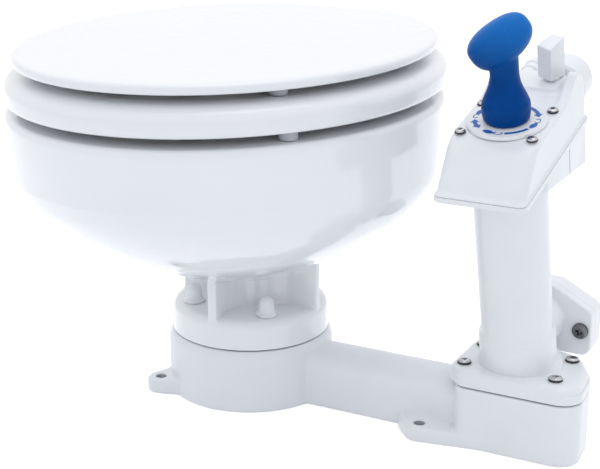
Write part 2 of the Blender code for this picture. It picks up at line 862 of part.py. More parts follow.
def carry(piece, parent):
    """Parent a piece to its joint's empty without moving it."""
    place = piece.matrix_world.copy()
    origin = parent.matrix_world.copy()
    piece.data.transform(origin.inverted() @ place)
    piece.parent = parent
    piece.matrix_parent_inverse = Matrix.Identity(4)
    piece.matrix_basis = Matrix.Identity(4)
    bpy.context.view_layer.update()


def lid_ring(z, inset):
    return oval(lid_half_width, lid_front, lid_back, bowl_centre_y, z, seat_back_limit, -inset)


def make_lid(hinge):
    t = lid_thickness
    rings = [lid_ring(lid_bottom, t * 0.3), lid_ring(lid_bottom + t * 0.25, 0.0),
             lid_ring(lid_bottom + t * 0.55, 0.0), lid_ring(lid_bottom + t * 0.84, t * 0.16),
             lid_ring(lid_bottom + t * 0.96, t * 0.42), lid_ring(lid_top, t * 0.9)]
    lid = solid("lid", lofted(rings), "white_enamel")
    for side in (-1, 1):
        outer = hinge_spacing - post_width / 2 - lug_clearance
        span = sorted((side * outer, side * (outer - lug_width)))
        join(lid, solid("lug", hull_across(
            [(hinge_y, hinge_z, knuckle_radius),
             (hinge_y - lid_lug_reach, (lid_bottom + lid_top) / 2, lid_lug_tip_radius)], *span)))
    drill_pin_holes(lid)
    carry(lid, hinge)
    places = [(side * lid_bumper_x, y) for y in (-lid_bumper_front_y, lid_bumper_rear_y)
              for side in (-1, 1)]
    for number, (x, y) in enumerate(places, 1):
        carry(bumper(f"lid_bumper_{number}", x, y, seat_top + touch_gap, lid_bottom - touch_gap),
              hinge)


def make_hinge():
    deck = rim_top + touch_gap
    pad_top = deck + pad_thickness
    for label, side in (("left", -1), ("right", 1)):
        x = side * hinge_spacing
        post = solid(f"hinge_post_{label}", prism(
            rounded_box(x - post_width / 2, x + post_width / 2, pad_front_y,
                        hinge_y - pad_heel_setback + pad_heel_radius, pad_heel_radius),
            deck, pad_top))
        join(post, solid("knuckle", hull_across(
            [(hinge_y, hinge_z, knuckle_radius),
             (hinge_y - pad_heel_setback, deck + pad_heel_radius, pad_heel_radius),
             (hinge_y + pad_heel_setback / 2, deck + pad_heel_radius, pad_heel_radius)],
            x - post_width / 2 + lug_clearance / 4, x + post_width / 2 - lug_clearance / 4)))
        cut(post, solid("pin_hole", moved(
            cylinder(pin_radius + pin_clearance, -post_width, post_width, small_segments),
            along_x(x, hinge_y, hinge_z))))
        cut(post, solid("bolt_hole", moved(
            cylinder(hinge_bolt_radius + touch_gap, deck - overrun, pad_top + overrun,
                     small_segments), at(x, hinge_bolt_y))))
        cut(post, solid("bolt_head_seat", moved(
            cylinder(hinge_bolt_head_radius + touch_gap, pad_top - hinge_bolt_head_height,
                     pad_top + overrun, small_segments), at(x, hinge_bolt_y))))
        half = post_width / 2 + lug_clearance + lug_width
        solid(f"hinge_pin_{label}", moved(cylinder(pin_radius, -half, half, small_segments),
                                          along_x(x, hinge_y, hinge_z)), "stainless")
        seat_of_head = pad_top - hinge_bolt_head_height + touch_gap
        bottom = rim_top - hinge_bolt_depth + touch_gap
        solid(f"hinge_bolt_{label}", moved(turned(
            [(0.0, bottom), (hinge_bolt_radius, bottom), (hinge_bolt_radius, seat_of_head),
             (hinge_bolt_head_radius, seat_of_head), (hinge_bolt_head_radius, pad_top),
             (0.0, pad_top)], small_segments), at(x, hinge_bolt_y)), "stainless")


# Pump cylinder with the lower half of the head

def flange_plate(name, bottom, top, edge=0.0):
    """Plate over the pump block, with two lobes on the bowl's side and a round upper edge."""
    places = [(pump_x - pump_screw_x, pump_y + side * pump_screw_y, pump_lobe_radius)
              for side in (-1, 1)]
    places += block_circles()
    levels = [(bottom, 0.0), (top, 0.0)]
    if edge:
        levels = [(bottom, 0.0), (top - edge, 0.0), (top - edge * 0.3, edge * 0.3), (top, edge)]
    return solid(name, hull([(px, py, z) for z, inset in levels for x, y, radius in places
                             for px, py in arc(x, y, radius - inset, 0, 360, block_segments)[:-1]]))


def drill_pump_screws(target, bottom, top):
    for x, y in pump_screw_places():
        cut(target, solid("screw_hole", moved(
            cylinder(screw_shank_radius + screw_hole_clearance, bottom - overrun, top + overrun,
                     small_segments), at(x, y))))


def head_outline(inset=0.0, front_shift=0.0, rear_shift=0.0):
    """Plan of the pump head in the tilted frame."""
    corner = head_corner - inset
    return rounded_box(-head_half_width + inset, head_half_width - inset,
                       -head_front + inset + front_shift, head_rear - inset + rear_shift, corner)


def barrel_profile():
    """Outside of the tilted barrel: flared foot, collar, plain length."""
    start = -barrel_root
    return [(0.0, start), (collar_radius + flare_height / 2, start),
            (collar_radius + flare_height / 3, flare_height * 0.35),
            (collar_radius, flare_height), (collar_radius, collar_height),
            (collar_radius - (collar_radius - barrel_radius) / 2, collar_height + collar_blend * 0.4),
            (barrel_radius, collar_height + collar_blend), (barrel_radius, barrel_length),
            (0.0, barrel_length)]


def lower_casing():
    """Block under the head's flange, flat and level underneath behind the barrel."""
    inset = casing_inset
    top = head_flange_height - head_flange_thickness / 2
    rise = head_flange_height - casing_depth
    slope = math.tan(tilt)
    x = head_half_width - inset
    rear = head_rear - inset
    front = -casing_front
    side_view = [(front, top), (front, rise - slope * front), (rear, rise - slope * rear), (rear, top)]
    return extruded([(-x, y, z) for y, z in side_view], (2 * x, 0.0, 0.0))


def casing_blend_rings():
    """Hopper that leads from the barrel out to the front of the head's flange."""
    top = head_flange_height - head_flange_thickness + touch_gap
    rows = []
    for share, drop in ((1.0, 0.0), (0.80, 0.22), (0.45, 0.62), (0.0, 1.0)):
        ring = []
        for x, y in head_outline(head_flange_edge):
            around = math.atan2(y, x)
            inner_x = barrel_radius * 0.97 * math.cos(around)
            inner_y = barrel_radius * 0.97 * math.sin(around)
            outer_x = blend(x, inner_x, 0.12)
            outer_y = blend(max(y, -head_front), inner_y, 0.12) if y < 0 else min(y, casing_front)
            ring.append((blend(inner_x, outer_x, share), blend(inner_y, outer_y, share),
                         top - casing_blend_depth * drop))
        rows.append(ring)
    return rows


def make_pump_cylinder(pump):
    cylinder_body = flange_plate("pump_cylinder", pump_flange_bottom, pump_flange_top,
                                 pump_flange_edge)
    barrel = solid("barrel", turned(barrel_profile()), parent=pump)
    cut(barrel, solid("below_flange", hull_plate(
        block_circles(block_corner), 0.0, pump_flange_bottom + pump_flange_thickness / 2)))
    join(cylinder_body, barrel)
    flange_bottom = head_flange_height - head_flange_thickness
    edge = head_flange_edge
    flange_rings = [[(x, y, z) for x, y in head_outline(inset)]
                    for inset, z in ((edge, flange_bottom), (0.0, flange_bottom + edge),
                                     (0.0, head_flange_height - edge), (edge, head_flange_height))]
    join(cylinder_body, solid("head_flange", lofted(flange_rings), parent=pump))
    join(cylinder_body, solid("lower_casing", lower_casing(), parent=pump))
    join(cylinder_body, solid("casing_blend", hull(
        [point for ring in casing_blend_rings() for point in ring]), parent=pump))
    make_rear_port(cylinder_body)
    cut(cylinder_body, solid("bore", cylinder(
        barrel_bore_radius, -pump_flange_thickness * 2, head_flange_height + overrun),
        parent=pump))
    chamber = prism(rounded_box(-chamber_half_width, chamber_half_width, chamber_front_y,
                                chamber_rear_y, block_corner / 3),
                    head_flange_height - chamber_depth, head_flange_height + overrun)
    cut(cylinder_body, solid("valve_chamber", chamber, parent=pump))
    drill_pump_screws(cylinder_body, pump_flange_bottom, pump_flange_top)
    depth = head_screw_length - (cover_top - head_flange_height) + touch_gap
    for x, y in head_screw_places():
        cut(cylinder_body, solid("screw_hole", moved(
            cylinder(screw_shank_radius + touch_gap, head_flange_height - depth,
                     head_flange_height + overrun, small_segments), at(x, y)), parent=pump))


def outlet_plate_outline():
    """Gabled plate with round corners, seen from the front, as (x, z) points."""
    half = outlet_plate_half_width
    corner = outlet_plate_corner
    side = outlet_plate_shoulder - corner
    right = (arc(half - corner, outlet_plate_bottom + corner, corner, -90, 0, corner_steps)
             + arc(half - corner, side, corner, 0, 65, corner_steps))
    left = [(-x, z) for x, z in reversed(right)]
    return [(pump_x + x, z) for x, z in right + [(half / 5, outlet_plate_top),
                                                 (-half / 5, outlet_plate_top)] + left]


def make_rear_port(target):
    """Short horizontal branch behind the barrel, with the flange for the elbow."""
    plate_back = outlet_plate_y + outlet_plate_thickness
    join(target, solid("branch", moved(
        cylinder(outlet_boss_radius, 0.0, outlet_plate_y + outlet_plate_thickness / 2 - barrel_y),
        along_y(pump_x, barrel_y, outlet_z))))
    join(target, solid("outlet_plate", extruded(
        [(x, outlet_plate_y, z) for x, z in outlet_plate_outline()],
        (0.0, outlet_plate_thickness, 0.0))))
    cut(target, solid("outlet_bore", moved(
        cylinder(outlet_bore_radius, 0.0, plate_back + overrun - barrel_y),
        along_y(pump_x, barrel_y, outlet_z))))
    for side in (-1, 1):
        cut(target, solid("elbow_screw_hole", moved(
            cylinder(screw_shank_radius + screw_hole_clearance, -overrun,
                     outlet_plate_thickness + overrun, small_segments),
            along_y(pump_x + side * elbow_screw_x, outlet_plate_y, elbow_screw_z))))


def make_base_valve_gasket():
    bottom = block_height + touch_gap
    top = bottom + pump_gasket_thickness
    gasket = flange_plate("base_valve_gasket", bottom, top)
    gasket.data.materials.clear()
    gasket.data.materials.append(finish_material("black_rubber"))
    cut(gasket, solid("opening", moved(
        cylinder(barrel_bore_radius, bottom - overrun, top + overrun), at(pump_x, valve_y))))
    drill_pump_screws(gasket, bottom, top)


def make_flap_valve(flap_axis):
    bottom = block_height + touch_gap
    top = bottom + flap_thickness
    flap = solid("flap_valve", moved(cylinder(flap_radius, bottom, top), at(pump_x, valve_y)),
                 "black_rubber")
    tab_end = pump_x - barrel_bore_radius + flap_hinge_gap
    join(flap, solid("tab", prism(
        [(tab_end, valve_y - flap_tab_half_width), (pump_x, valve_y - flap_tab_half_width),
         (pump_x, valve_y + flap_tab_half_width), (tab_end, valve_y + flap_tab_half_width)],
        bottom + touch_gap / 2, top - touch_gap / 2)))
    carry(flap, flap_axis)
    weight_bottom = top + touch_gap
    weight = solid("flap_weight", moved(turned(
        [(0.0, weight_bottom), (flap_weight_radius, weight_bottom),
         (flap_weight_radius, weight_bottom + flap_weight_height * 0.8),
         (flap_weight_radius * 0.9, weight_bottom + flap_weight_height),
         (0.0, weight_bottom + flap_weight_height)], small_segments), at(pump_x, valve_y)), "brass")
    carry(weight, flap_axis)


# Screws

def screw(name, matrix, parent, head_radius, head_height, length):
    """Pan-head screw: the head stands on z = 0 and the shank runs down."""
    profile = [(0.0, -length), (screw_shank_radius, -length), (screw_shank_radius, 0.0),
               (head_radius, 0.0), (head_radius, head_height * 0.45),
               (head_radius * 0.88, head_height * 0.78), (head_radius * 0.62, head_height),
               (0.0, head_height)]
    solid(name, moved(turned(profile, small_segments), matrix), "stainless", parent)


def head_screw_places():
    return [(sx * head_screw_x, sy * head_screw_y) for sy in (-1, 1) for sx in (-1, 1)]


def make_screws(pump):
    for number, (x, y) in enumerate(pump_screw_places(), 1):
        screw(f"base_screw_{number}", at(x, y, pump_flange_top + touch_gap), None,
              screw_head_radius, screw_head_height, base_screw_length)
    for number, (x, y) in enumerate(head_screw_places(), 1):
        screw(f"head_screw_{number}", at(x, y, cover_top + touch_gap), pump,
              head_screw_head_radius, head_screw_head_height, head_screw_length)
    for number, side in enumerate((-1, 1), 1):
        place = at(pump_x + side * elbow_screw_x, outlet_plate_y - touch_gap, elbow_screw_z)
        screw(f"elbow_screw_{number}", place @ Matrix.Rotation(math.radians(90), 4, 'X'), None,
              elbow_screw_head_radius, elbow_screw_head_height, elbow_screw_length)


# Valve cover, the upper half of the head

def cover_outline(half_width, front, rear, front_corner):
    """Plan of the cover: round corners in front that differ from those behind."""
    near = front + front_corner
    far = rear - cover_corner
    return (arc(half_width - front_corner, near, front_corner, -90, 0, corner_steps)
            + arc(half_width - cover_corner, far, cover_corner, 0, 90, corner_steps)
            + arc(cover_corner - half_width, far, cover_corner, 90, 180, corner_steps)
            + arc(front_corner - half_width, near, front_corner, 180, 270, corner_steps))


def cover_rings(inset, bottom, top, front_inset=0.0):
    """Rings from the parting line to the top, with the front face leaning back."""
    rings = []
    for rise, lean, rounding in cover_front_shares:
        z = blend(bottom, top, rise)
        edge = cover_edge * rounding
        shift = cover_front_slope * lean + front_inset
        corner = blend(cover_corner, cover_front_corner, rise)
        rings.append([(px, py, z) for px, py in cover_outline(
            head_half_width - inset - edge, -head_front + inset + shift,
            head_rear - inset - edge, corner)])
    return rings


def make_valve_cover(pump):
    cover = solid("valve_cover", lofted(cover_rings(cover_inset, cover_bottom, cover_top)),
                  parent=pump)
    rear = head_rear - cover_inset - cover_edge * 1.3
    for side in (-1, 1):
        outer = side * (head_half_width - cover_inset - cover_edge * 1.3)
        inner = side * (head_half_width - cover_inset - cover_edge * 1.3 - shoulder_width)
        base = cover_top - cover_edge
        side_view = [(shoulder_start_y, base), (shoulder_start_y, cover_top)]
        side_view += [(blend(shoulder_start_y, shoulder_peak_y, run), cover_top + shoulder_height * rise)
                      for run, rise in shoulder_rise_shares]
        side_view += [(blend(shoulder_peak_y, rear, shoulder_rear_share),
                       cover_top + shoulder_height * shoulder_rear_share), (rear, base)]
        low, high = sorted((outer, inner))
        join(cover, solid("shoulder", extruded([(low, y, z) for y, z in side_view],
                                               (high - low, 0.0, 0.0)), parent=pump))
    platform = prism(rounded_box(-platform_half_width, platform_half_width, platform_front_y, rear,
                                 platform_height), cover_top - cover_edge, platform_top)
    join(cover, solid("platform", platform, parent=pump))
    cavity = cover_rings(cover_inset + cover_wall, cover_bottom - overrun,
                         cover_top - cover_wall, cover_wall)
    cut(cover, solid("cavity", lofted(cavity), parent=pump))
    for x, y in head_screw_places():
        join(cover, solid("pillar", moved(
            cylinder(pillar_radius, cover_bottom + touch_gap, cover_top - cover_wall / 2), at(x, y)),
            parent=pump))
    for x, y in head_screw_places():
        cut(cover, solid("screw_hole", moved(
            cylinder(screw_shank_radius + touch_gap, cover_bottom - overrun,
                     cover_top + overrun, small_segments), at(x, y)), parent=pump))
    cut(cover, solid("spigot_hole", cylinder(
        dial_spigot_radius + touch_gap, cover_bottom, cover_top + overrun), parent=pump))
    cut(cover, solid("shaft_hole", moved(
        cylinder(lever_shaft_radius + slide_gap, cover_bottom, platform_top + overrun,
                 small_segments), at(lever_x, lever_y)), parent=pump))
    for x, z, radius, steps in (
            (intake_x, intake_height, intake_spigot_radius, round_segments),
            (outlet_x, outlet_height, outlet_spigot_radius, small_segments)):
        cut(cover, solid("port_hole", moved(
            cylinder(radius + touch_gap, -cover_wall - overrun, overrun * 2, steps),
            along_y(x, head_rear - cover_inset, z)), parent=pump))


def make_valve_gasket(pump):
    bottom = head_flange_height + touch_gap
    top = bottom + valve_gasket_thickness
    gasket = solid("valve_gasket", prism(head_outline(valve_gasket_inset), bottom, top),
                   "black_rubber", pump)
    cut(gasket, solid("opening", cylinder(barrel_bore_radius, bottom - overrun, top + overrun),
                      parent=pump))
    chamber = prism(rounded_box(-chamber_half_width, chamber_half_width, chamber_front_y,
                                chamber_rear_y, block_corner / 3), bottom - overrun, top + overrun)
    cut(gasket, solid("chamber", chamber, parent=pump))
    for x, y in head_screw_places():
        cut(gasket, solid("screw_hole", moved(
            cylinder(screw_shank_radius + screw_hole_clearance, bottom - overrun, top + overrun,
                     small_segments), at(x, y)), parent=pump))


# Piston, rod, dial plate and handle

def make_piston(piston_frame):
    radius = barrel_bore_radius - slide_gap
    middle = piston_rest + piston_length / 2
    floor = radius - 2 * ring_wire_radius - touch_gap
    top = piston_rest + piston_length
    profile = [(0.0, piston_rest), (radius, piston_rest), (radius, middle - ring_groove_width / 2),
               (floor, middle - ring_groove_width / 2), (floor, middle + ring_groove_width / 2),
               (radius, middle + ring_groove_width / 2), (radius, top),
               (rod_radius + touch_gap, top), (rod_radius + touch_gap, top - rod_insert),
               (0.0, top - rod_insert)]
    solid("piston", turned(profile), parent=piston_frame)
    ring_radius = radius + slide_gap / 2 - ring_wire_radius
    wire = arc(ring_radius, middle, ring_wire_radius, 0, 360, small_segments)[:-1]
    solid("piston_o_ring", turned(wire, closed=True), "black_rubber", piston_frame)


def make_rod(handle_frame):
    bottom = piston_rest + piston_length - rod_insert + touch_gap
    top = handle_bottom + handle_socket_depth - touch_gap
    solid("piston_rod", cylinder(rod_radius, bottom, top), "stainless", handle_frame)


def make_dial_plate(pump):
    bore = rod_radius + slide_gap
    spigot_bottom = dial_bottom - dial_spigot_length
    seal_top = spigot_bottom + rod_seal_thickness + touch_gap
    profile = [(bore, seal_top), (rod_seal_radius + touch_gap, seal_top),
               (rod_seal_radius + touch_gap, spigot_bottom), (dial_spigot_radius, spigot_bottom),
               (dial_spigot_radius, dial_bottom), (dial_radius, dial_bottom),
               (dial_radius, dial_top - dial_edge), (dial_radius - dial_edge, dial_top),
               (bore, dial_top)]
    solid("dial_plate", turned(profile, closed=True), parent=pump)
    solid("rod_seal", turned(
        [(bore, spigot_bottom), (rod_seal_radius, spigot_bottom),
         (rod_seal_radius, spigot_bottom + rod_seal_thickness),
         (bore, spigot_bottom + rod_seal_thickness)], closed=True), "black_rubber", pump)


def handle_profile():
    """Grip that swells above its foot and narrows to the neck under the knob."""
    z = handle_bottom
    swell = handle_grip_height
    neck = handle_neck_height
    bore = rod_radius + touch_gap
    points = [(0.0, z + handle_socket_depth), (bore, z + handle_socket_depth), (bore, z),
              (handle_foot_radius - handle_foot_edge, z),
              (handle_foot_radius, z + handle_foot_edge)]
    points += [(handle_grip_radius, z + swell * 0.55), (handle_grip_radius * 0.985, z + swell * 0.9)]
    for share, width in ((0.25, 0.70), (0.5, 0.36), (0.75, 0.12), (1.0, 0.0)):
        points.append((blend(handle_neck_radius, handle_grip_radius, width),
                       z + blend(swell, neck, share)))
    points += [(handle_neck_radius, z + handle_height), (0.0, z + handle_height)]
    return points


def make_handle(handle_frame):
    handle = solid("handle", turned(handle_profile()), "blue_plastic", handle_frame)
    knob = bmesh.new()
    bmesh.ops.create_uvsphere(knob, u_segments=20, v_segments=12, radius=1.0)
    for vert in knob.verts:
        x, y, height = vert.co
        fullness = knob_top_share if height > 0 else knob_under_share - knob_taper_share * x
        vert.co = (math.copysign(abs(x) ** knob_end_share, x), y,
                   math.copysign(abs(height) ** knob_flat_share, height) * fullness)
    scale = Matrix.Diagonal((knob_length, knob_breadth, knob_depth, 1.0))
    place = at(knob_shift, 0.0, handle_bottom + knob_height)
    turn = Matrix.Rotation(math.radians(-knob_tilt_degrees), 4, 'Y')
    join(handle, solid("knob", moved(knob, place @ turn @ scale), parent=handle_frame))


# Flush lever and cam

def make_flush_lever(lever_frame):
    foot = platform_top + touch_gap
    turn = Matrix.Rotation(math.radians(lever_turn_degrees), 4, 'Z')
    half_w = lever_width / 2
    half_l = lever_length / 2
    rings = []
    for z, inset in ((foot, lever_corner), (foot + lever_corner, 0.0),
                     (foot + lever_height - lever_corner, 0.0), (foot + lever_height, lever_corner)):
        rings.append([(x, y, z) for x, y in rounded_box(
            -half_w + inset, half_w - inset, -half_l + inset, half_l - inset, lever_corner)])
    place = at(lever_x, lever_y) @ turn
    lever = solid("flush_lever", moved(lofted(rings), place), parent=lever_frame.parent)
    join(lever, solid("shaft", moved(
        cylinder(lever_shaft_radius, foot - lever_shaft_length, foot + lever_corner * 2,
                 small_segments), place), parent=lever_frame.parent))
    carry(lever, lever_frame)
    bottom = foot - lever_shaft_length
    bore = lever_shaft_radius + touch_gap
    cam = solid("valve_cam", moved(hull_plate(
        [(0.0, 0.0, cam_radius), (0.0, -cam_throw, cam_radius)], bottom, bottom + cam_thickness),
        place), parent=lever_frame.parent)
    cut(cam, solid("cam_bore", moved(
        cylinder(bore, bottom - overrun, bottom + cam_thickness + overrun, small_segments), place),
        parent=lever_frame.parent))
    carry(cam, lever_frame)


# Hose fittings

def make_intake_elbow(pump):
    start = head_rear - cover_inset + touch_gap
    spigot = start - fitting_spigot_length
    nut_end = start + intake_nut_length
    edge = intake_nut_edge
    profile = [(0.0, spigot), (intake_spigot_radius, spigot), (intake_spigot_radius, start),
               (intake_nut_radius - edge / 3, start), (intake_nut_radius, start + edge / 3)]
    profile += [(intake_nut_radius - edge * (1 - math.cos(turn)), nut_end - edge * (1 - math.sin(turn)))
                for turn in (0.0, math.radians(30), math.radians(60), math.radians(90))]
    profile += [(0.0, nut_end)]
    elbow = solid("intake_elbow", moved(turned(profile), along_y(intake_x, 0.0, intake_height)),
                  parent=pump)
    axis_y = nut_end - intake_tail_setback
    down = at(intake_x, axis_y, intake_height) @ Matrix.Rotation(math.pi, 4, 'X')
    tail = [(0.0, 0.0), (intake_tail_radius - barb_height, 0.0)]
    tail += barbed(intake_tail_radius, intake_nut_radius / 2, intake_tail_drop)
    tail += [(0.0, intake_tail_drop)]
    join(elbow, solid("tail", moved(turned(tail, small_segments), down), parent=pump))
    cut(elbow, solid("bore_in", moved(
        cylinder(intake_tail_bore, spigot - overrun, axis_y, small_segments),
        along_y(intake_x, 0.0, intake_height)), parent=pump))
    cut(elbow, solid("bore_down", moved(
        cylinder(intake_tail_bore * 0.96, 0.0, intake_tail_drop + overrun, small_segments), down),
        parent=pump))


def make_outlet_tail(pump):
    start = head_rear - cover_inset + touch_gap
    spigot = start - fitting_spigot_length
    end = start + outlet_nut_length + outlet_tail_length
    profile = [(outlet_tail_bore, spigot), (outlet_spigot_radius, spigot),
               (outlet_spigot_radius, start), (outlet_nut_radius, start),
               (outlet_nut_radius, start + outlet_nut_length)]
    profile += barbed(outlet_tail_radius, start + outlet_nut_length, end)
    profile += [(outlet_tail_bore, end)]
    solid("outlet_tail", moved(turned(profile, small_segments, closed=True),
                               along_y(outlet_x, 0.0, outlet_height)), parent=pump)


def make_discharge_elbow():
    start = outlet_plate_y + outlet_plate_thickness + touch_gap
    end = start + housing_depth
    outline = outlet_plate_outline()
    middle_z = (outlet_plate_bottom + outlet_plate_top) / 2

    def housing_ring(y, inset):
        shrink_x = 1 - inset / outlet_plate_half_width
        shrink_z = 1 - 2 * inset / (outlet_plate_top - outlet_plate_bottom)
        return [(pump_x + (x - pump_x) * shrink_x, y, middle_z + (z - middle_z) * shrink_z)
                for x, z in outline]

    edge = housing_edge
    elbow = solid("discharge_elbow", lofted(
        [housing_ring(start, 0.0), housing_ring(end - edge, 0.0),
         housing_ring(end - edge * 0.5, edge * 0.13), housing_ring(end - edge * 0.13, edge * 0.5),
         housing_ring(end, edge)]))
    join(elbow, solid("neck", moved(cylinder(knee_radius, 0.0, knee_y - start - edge / 4),
                                    along_y(pump_x, start + edge / 4, outlet_z))))
    knee = bmesh.new()
    bmesh.ops.create_uvsphere(knee, u_segments=20, v_segments=12, radius=knee_radius * 1.04)
    join(elbow, solid("knee", moved(knee, along_x(pump_x, knee_y, outlet_z))))
    tail = [(0.0, 0.0), (knee_radius - barb_height, 0.0)]
    tail += barbed(knee_radius, knee_radius, discharge_tail_length)
    tail += [(0.0, discharge_tail_length)]
    join(elbow, solid("tail", moved(turned(tail), along_x(pump_x, knee_y, outlet_z, -1))))
    seat_radius = joker_flange_radius + touch_gap
    seat_depth = joker_flange_thickness + touch_gap
    inlet = [(0.0, -overrun), (seat_radius, -overrun), (seat_radius, seat_depth),
             (outlet_bore_radius, seat_depth), (outlet_bore_radius, knee_y - start),
             (0.0, knee_y - start)]
    cut(elbow, solid("inlet", moved(turned(inlet), along_y(pump_x, start, outlet_z))))
    cut(elbow, solid("bore_out", moved(
        cylinder(outlet_bore_radius * 0.98, -outlet_bore_radius * 0.4,
                 discharge_tail_length + overrun),
        along_x(pump_x, knee_y, outlet_z, -1))))
    for side in (-1, 1):
        depth = elbow_screw_length - outlet_plate_thickness
        cut(elbow, solid("screw_hole", moved(
            cylinder(screw_shank_radius + touch_gap, -overrun, depth, small_segments),
            along_y(pump_x + side * elbow_screw_x, start, elbow_screw_z))))


def make_joker_valve():
    """Rubber duckbill: a round flange, and a tube that flattens to two lips."""
    start = outlet_plate_y + outlet_plate_thickness + 2 * touch_gap
    body = outlet_bore_radius - touch_gap
    lip = joker_lip_half_gap

    def ring(y, across, up):
        return [(pump_x + across * math.cos(turn), y, outlet_z + up * math.sin(turn))
                for turn in (2 * math.pi * i / round_segments for i in range(round_segments))]

    flange_end = start + joker_flange_thickness - touch_gap
    end = start + joker_length
    bend = blend(flange_end, end, 0.35)
    wall = joker_wall
    bent = body * joker_bend_share
    rings = [ring(start, joker_flange_radius, joker_flange_radius),
             ring(flange_end, joker_flange_radius, joker_flange_radius),
             ring(flange_end, body, body), ring(bend, body, bent),
             ring(end, body, lip + wall), ring(end, body - wall, lip),
             ring(bend, body - wall, bent - wall), ring(flange_end, body - wall, body - wall),
             ring(start, body - wall, body - wall)]
    solid("joker_valve", lofted(rings, closed=True), "black_rubber")


def main():
    clear_scene()
    pump = frame_empty("pump_frame", (pump_x, barrel_y, pump_flange_top),
                       (tilt, 0.0, 0.0))
    seat_hinge = frame_empty("seat_hinge_axis", (0.0, hinge_y, hinge_z))
    lid_hinge = frame_empty("lid_hinge_axis", (0.0, 0.0, 0.0), parent=seat_hinge)
    piston_frame = frame_empty("piston_axis", (0.0, 0.0, 0.0), parent=pump)
    handle_frame = frame_empty("handle_axis", (0.0, 0.0, 0.0), parent=piston_frame)
    lever_frame = frame_empty("flush_lever_axis", (lever_x, lever_y, 0.0), parent=pump)
    flap_axis = frame_empty("flap_axis", (pump_x - barrel_bore_radius + flap_hinge_gap, valve_y,
                                          block_height + touch_gap + flap_thickness / 2))
    make_base_casting()
    make_bowl_gasket()
    make_bowl()
    make_bowl_inlet_spud()
    make_foot_bolts()
    make_seat(seat_hinge)
    make_lid(lid_hinge)
    make_hinge()
    make_pump_cylinder(pump)
    make_base_valve_gasket()
    make_flap_valve(flap_axis)
    make_valve_cover(pump)
    make_valve_gasket(pump)
    make_piston(piston_frame)
    make_rod(handle_frame)
    make_dial_plate(pump)
    make_handle(handle_frame)
    make_flush_lever(lever_frame)
    make_intake_elbow(pump)
    make_outlet_tail(pump)
    make_discharge_elbow()
    make_joker_valve()
    make_screws(pump)


main()
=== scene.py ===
"""Looks of the manual marine toilet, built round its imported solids.

Metres, +Z up, +X from the bowl towards the pump, -Y towards the user. Pieces of the pump
head are drawn in the pump's own frame, tilted back about X, and moved into place at the end.
"""

import math

import bmesh
import bpy
from mathutils import Matrix, Vector


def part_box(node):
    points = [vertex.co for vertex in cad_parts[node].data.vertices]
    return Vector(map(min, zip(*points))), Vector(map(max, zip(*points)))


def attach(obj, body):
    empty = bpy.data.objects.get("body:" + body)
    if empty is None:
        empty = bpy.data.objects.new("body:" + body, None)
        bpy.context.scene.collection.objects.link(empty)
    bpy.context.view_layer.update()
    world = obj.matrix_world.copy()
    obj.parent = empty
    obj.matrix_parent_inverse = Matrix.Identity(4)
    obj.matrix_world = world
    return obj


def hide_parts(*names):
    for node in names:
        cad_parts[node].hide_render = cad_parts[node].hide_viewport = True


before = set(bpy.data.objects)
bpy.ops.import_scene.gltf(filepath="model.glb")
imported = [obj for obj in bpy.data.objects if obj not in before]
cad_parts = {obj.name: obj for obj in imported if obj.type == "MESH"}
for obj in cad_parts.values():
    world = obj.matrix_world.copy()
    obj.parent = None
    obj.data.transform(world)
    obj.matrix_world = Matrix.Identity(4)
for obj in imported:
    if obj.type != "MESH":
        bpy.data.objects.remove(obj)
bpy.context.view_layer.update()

# Clearances and counts of facets
upright = Matrix.Identity(4)
touch_gap = 0.0003
weld = 0.000002
overrun = 0.004
fine_turns = 96
round_turns = 64
small_turns = 32
profile_steps = 5
edge_steps = 4
fine_edge_steps = 6
corner_steps = 8
smoothing = 0.5
flat_angle = math.radians(0.3)
sharp_angle = math.radians(40)

# Base casting
drum_radius = 0.070
drum_seat_radius = 0.0665
drum_shoulder = 0.007
drum_shoulder_shares = ((0.35, 0.5), (0.7, 0.8), (1.0, 1.0))
base_height = 0.053
base_floor = 0.008
well_radius = 0.030
channel_half_width = 0.0235
channel_height = 0.048
channel_crown = 0.016
passage_radius = 0.0140
passage_rise = 0.0240
pump_well_radius = 0.0155
pump_x = 0.241
pump_y = 0.001
block_left = 0.0405
block_right = 0.0595
block_half_depth = 0.0395
block_corner = 0.012
block_front_corner = 0.0175
block_end_radius = 0.036
block_end_setback = 0.0015
block_back_corner = 0.030
block_back_setback = 0.0079
flange_step_height = 0.0060
flange_step_setback = 0.0016
seam_step_width = 0.0012
seam_step_depth = 0.0006
ear_hole_lip = 0.0006
block_height = 0.0500
ear_thickness = 0.012
ear_radius = 0.0115
ear_edge = 0.002
ear_root_share = 0.7
ear_root_growth = 1.9
pump_ear_growth = 2.08
ear_hole_radius = 0.0045
drum_ear = (-0.059, 0.053)
pump_ear = (0.174, 0.036)
pump_ear_run = 0.054
casting_voxel = 0.0012
casting_soft_passes = 7

# Bowl
foot_thickness = 0.0235
foot_edge = 0.0070
core_radius = 0.030
core_height = 0.0315
web_half_thickness = 0.0040
web_reach = 0.0645
web_flare = 0.0130
web_top_share = 0.14
web_flare_shares = (0.0, 0.25, 0.5, 0.75, 1.0)
# Plans give a half width, the reaches to the front and the back, and the limit of the back
bowl_back_limit = 0.158
bowl_plan = (0.1665, 0.2015, 0.190, bowl_back_limit)
rim_plan = (0.117, 0.154, 0.122, bowl_back_limit)
bowl_centre_y = -0.0245
bowl_back_softness = 0.006
wall_foot = 0.1605
rim_edge = 0.006
rim_lip_depth = 0.030
rim_lip_edge = 0.006
rim_channel_depth = 0.014
rim_channel_width = 0.014
sump_height = 0.067
outlet_radius = 0.019
foot_voxel = 0.0010
foot_soft_passes = 6
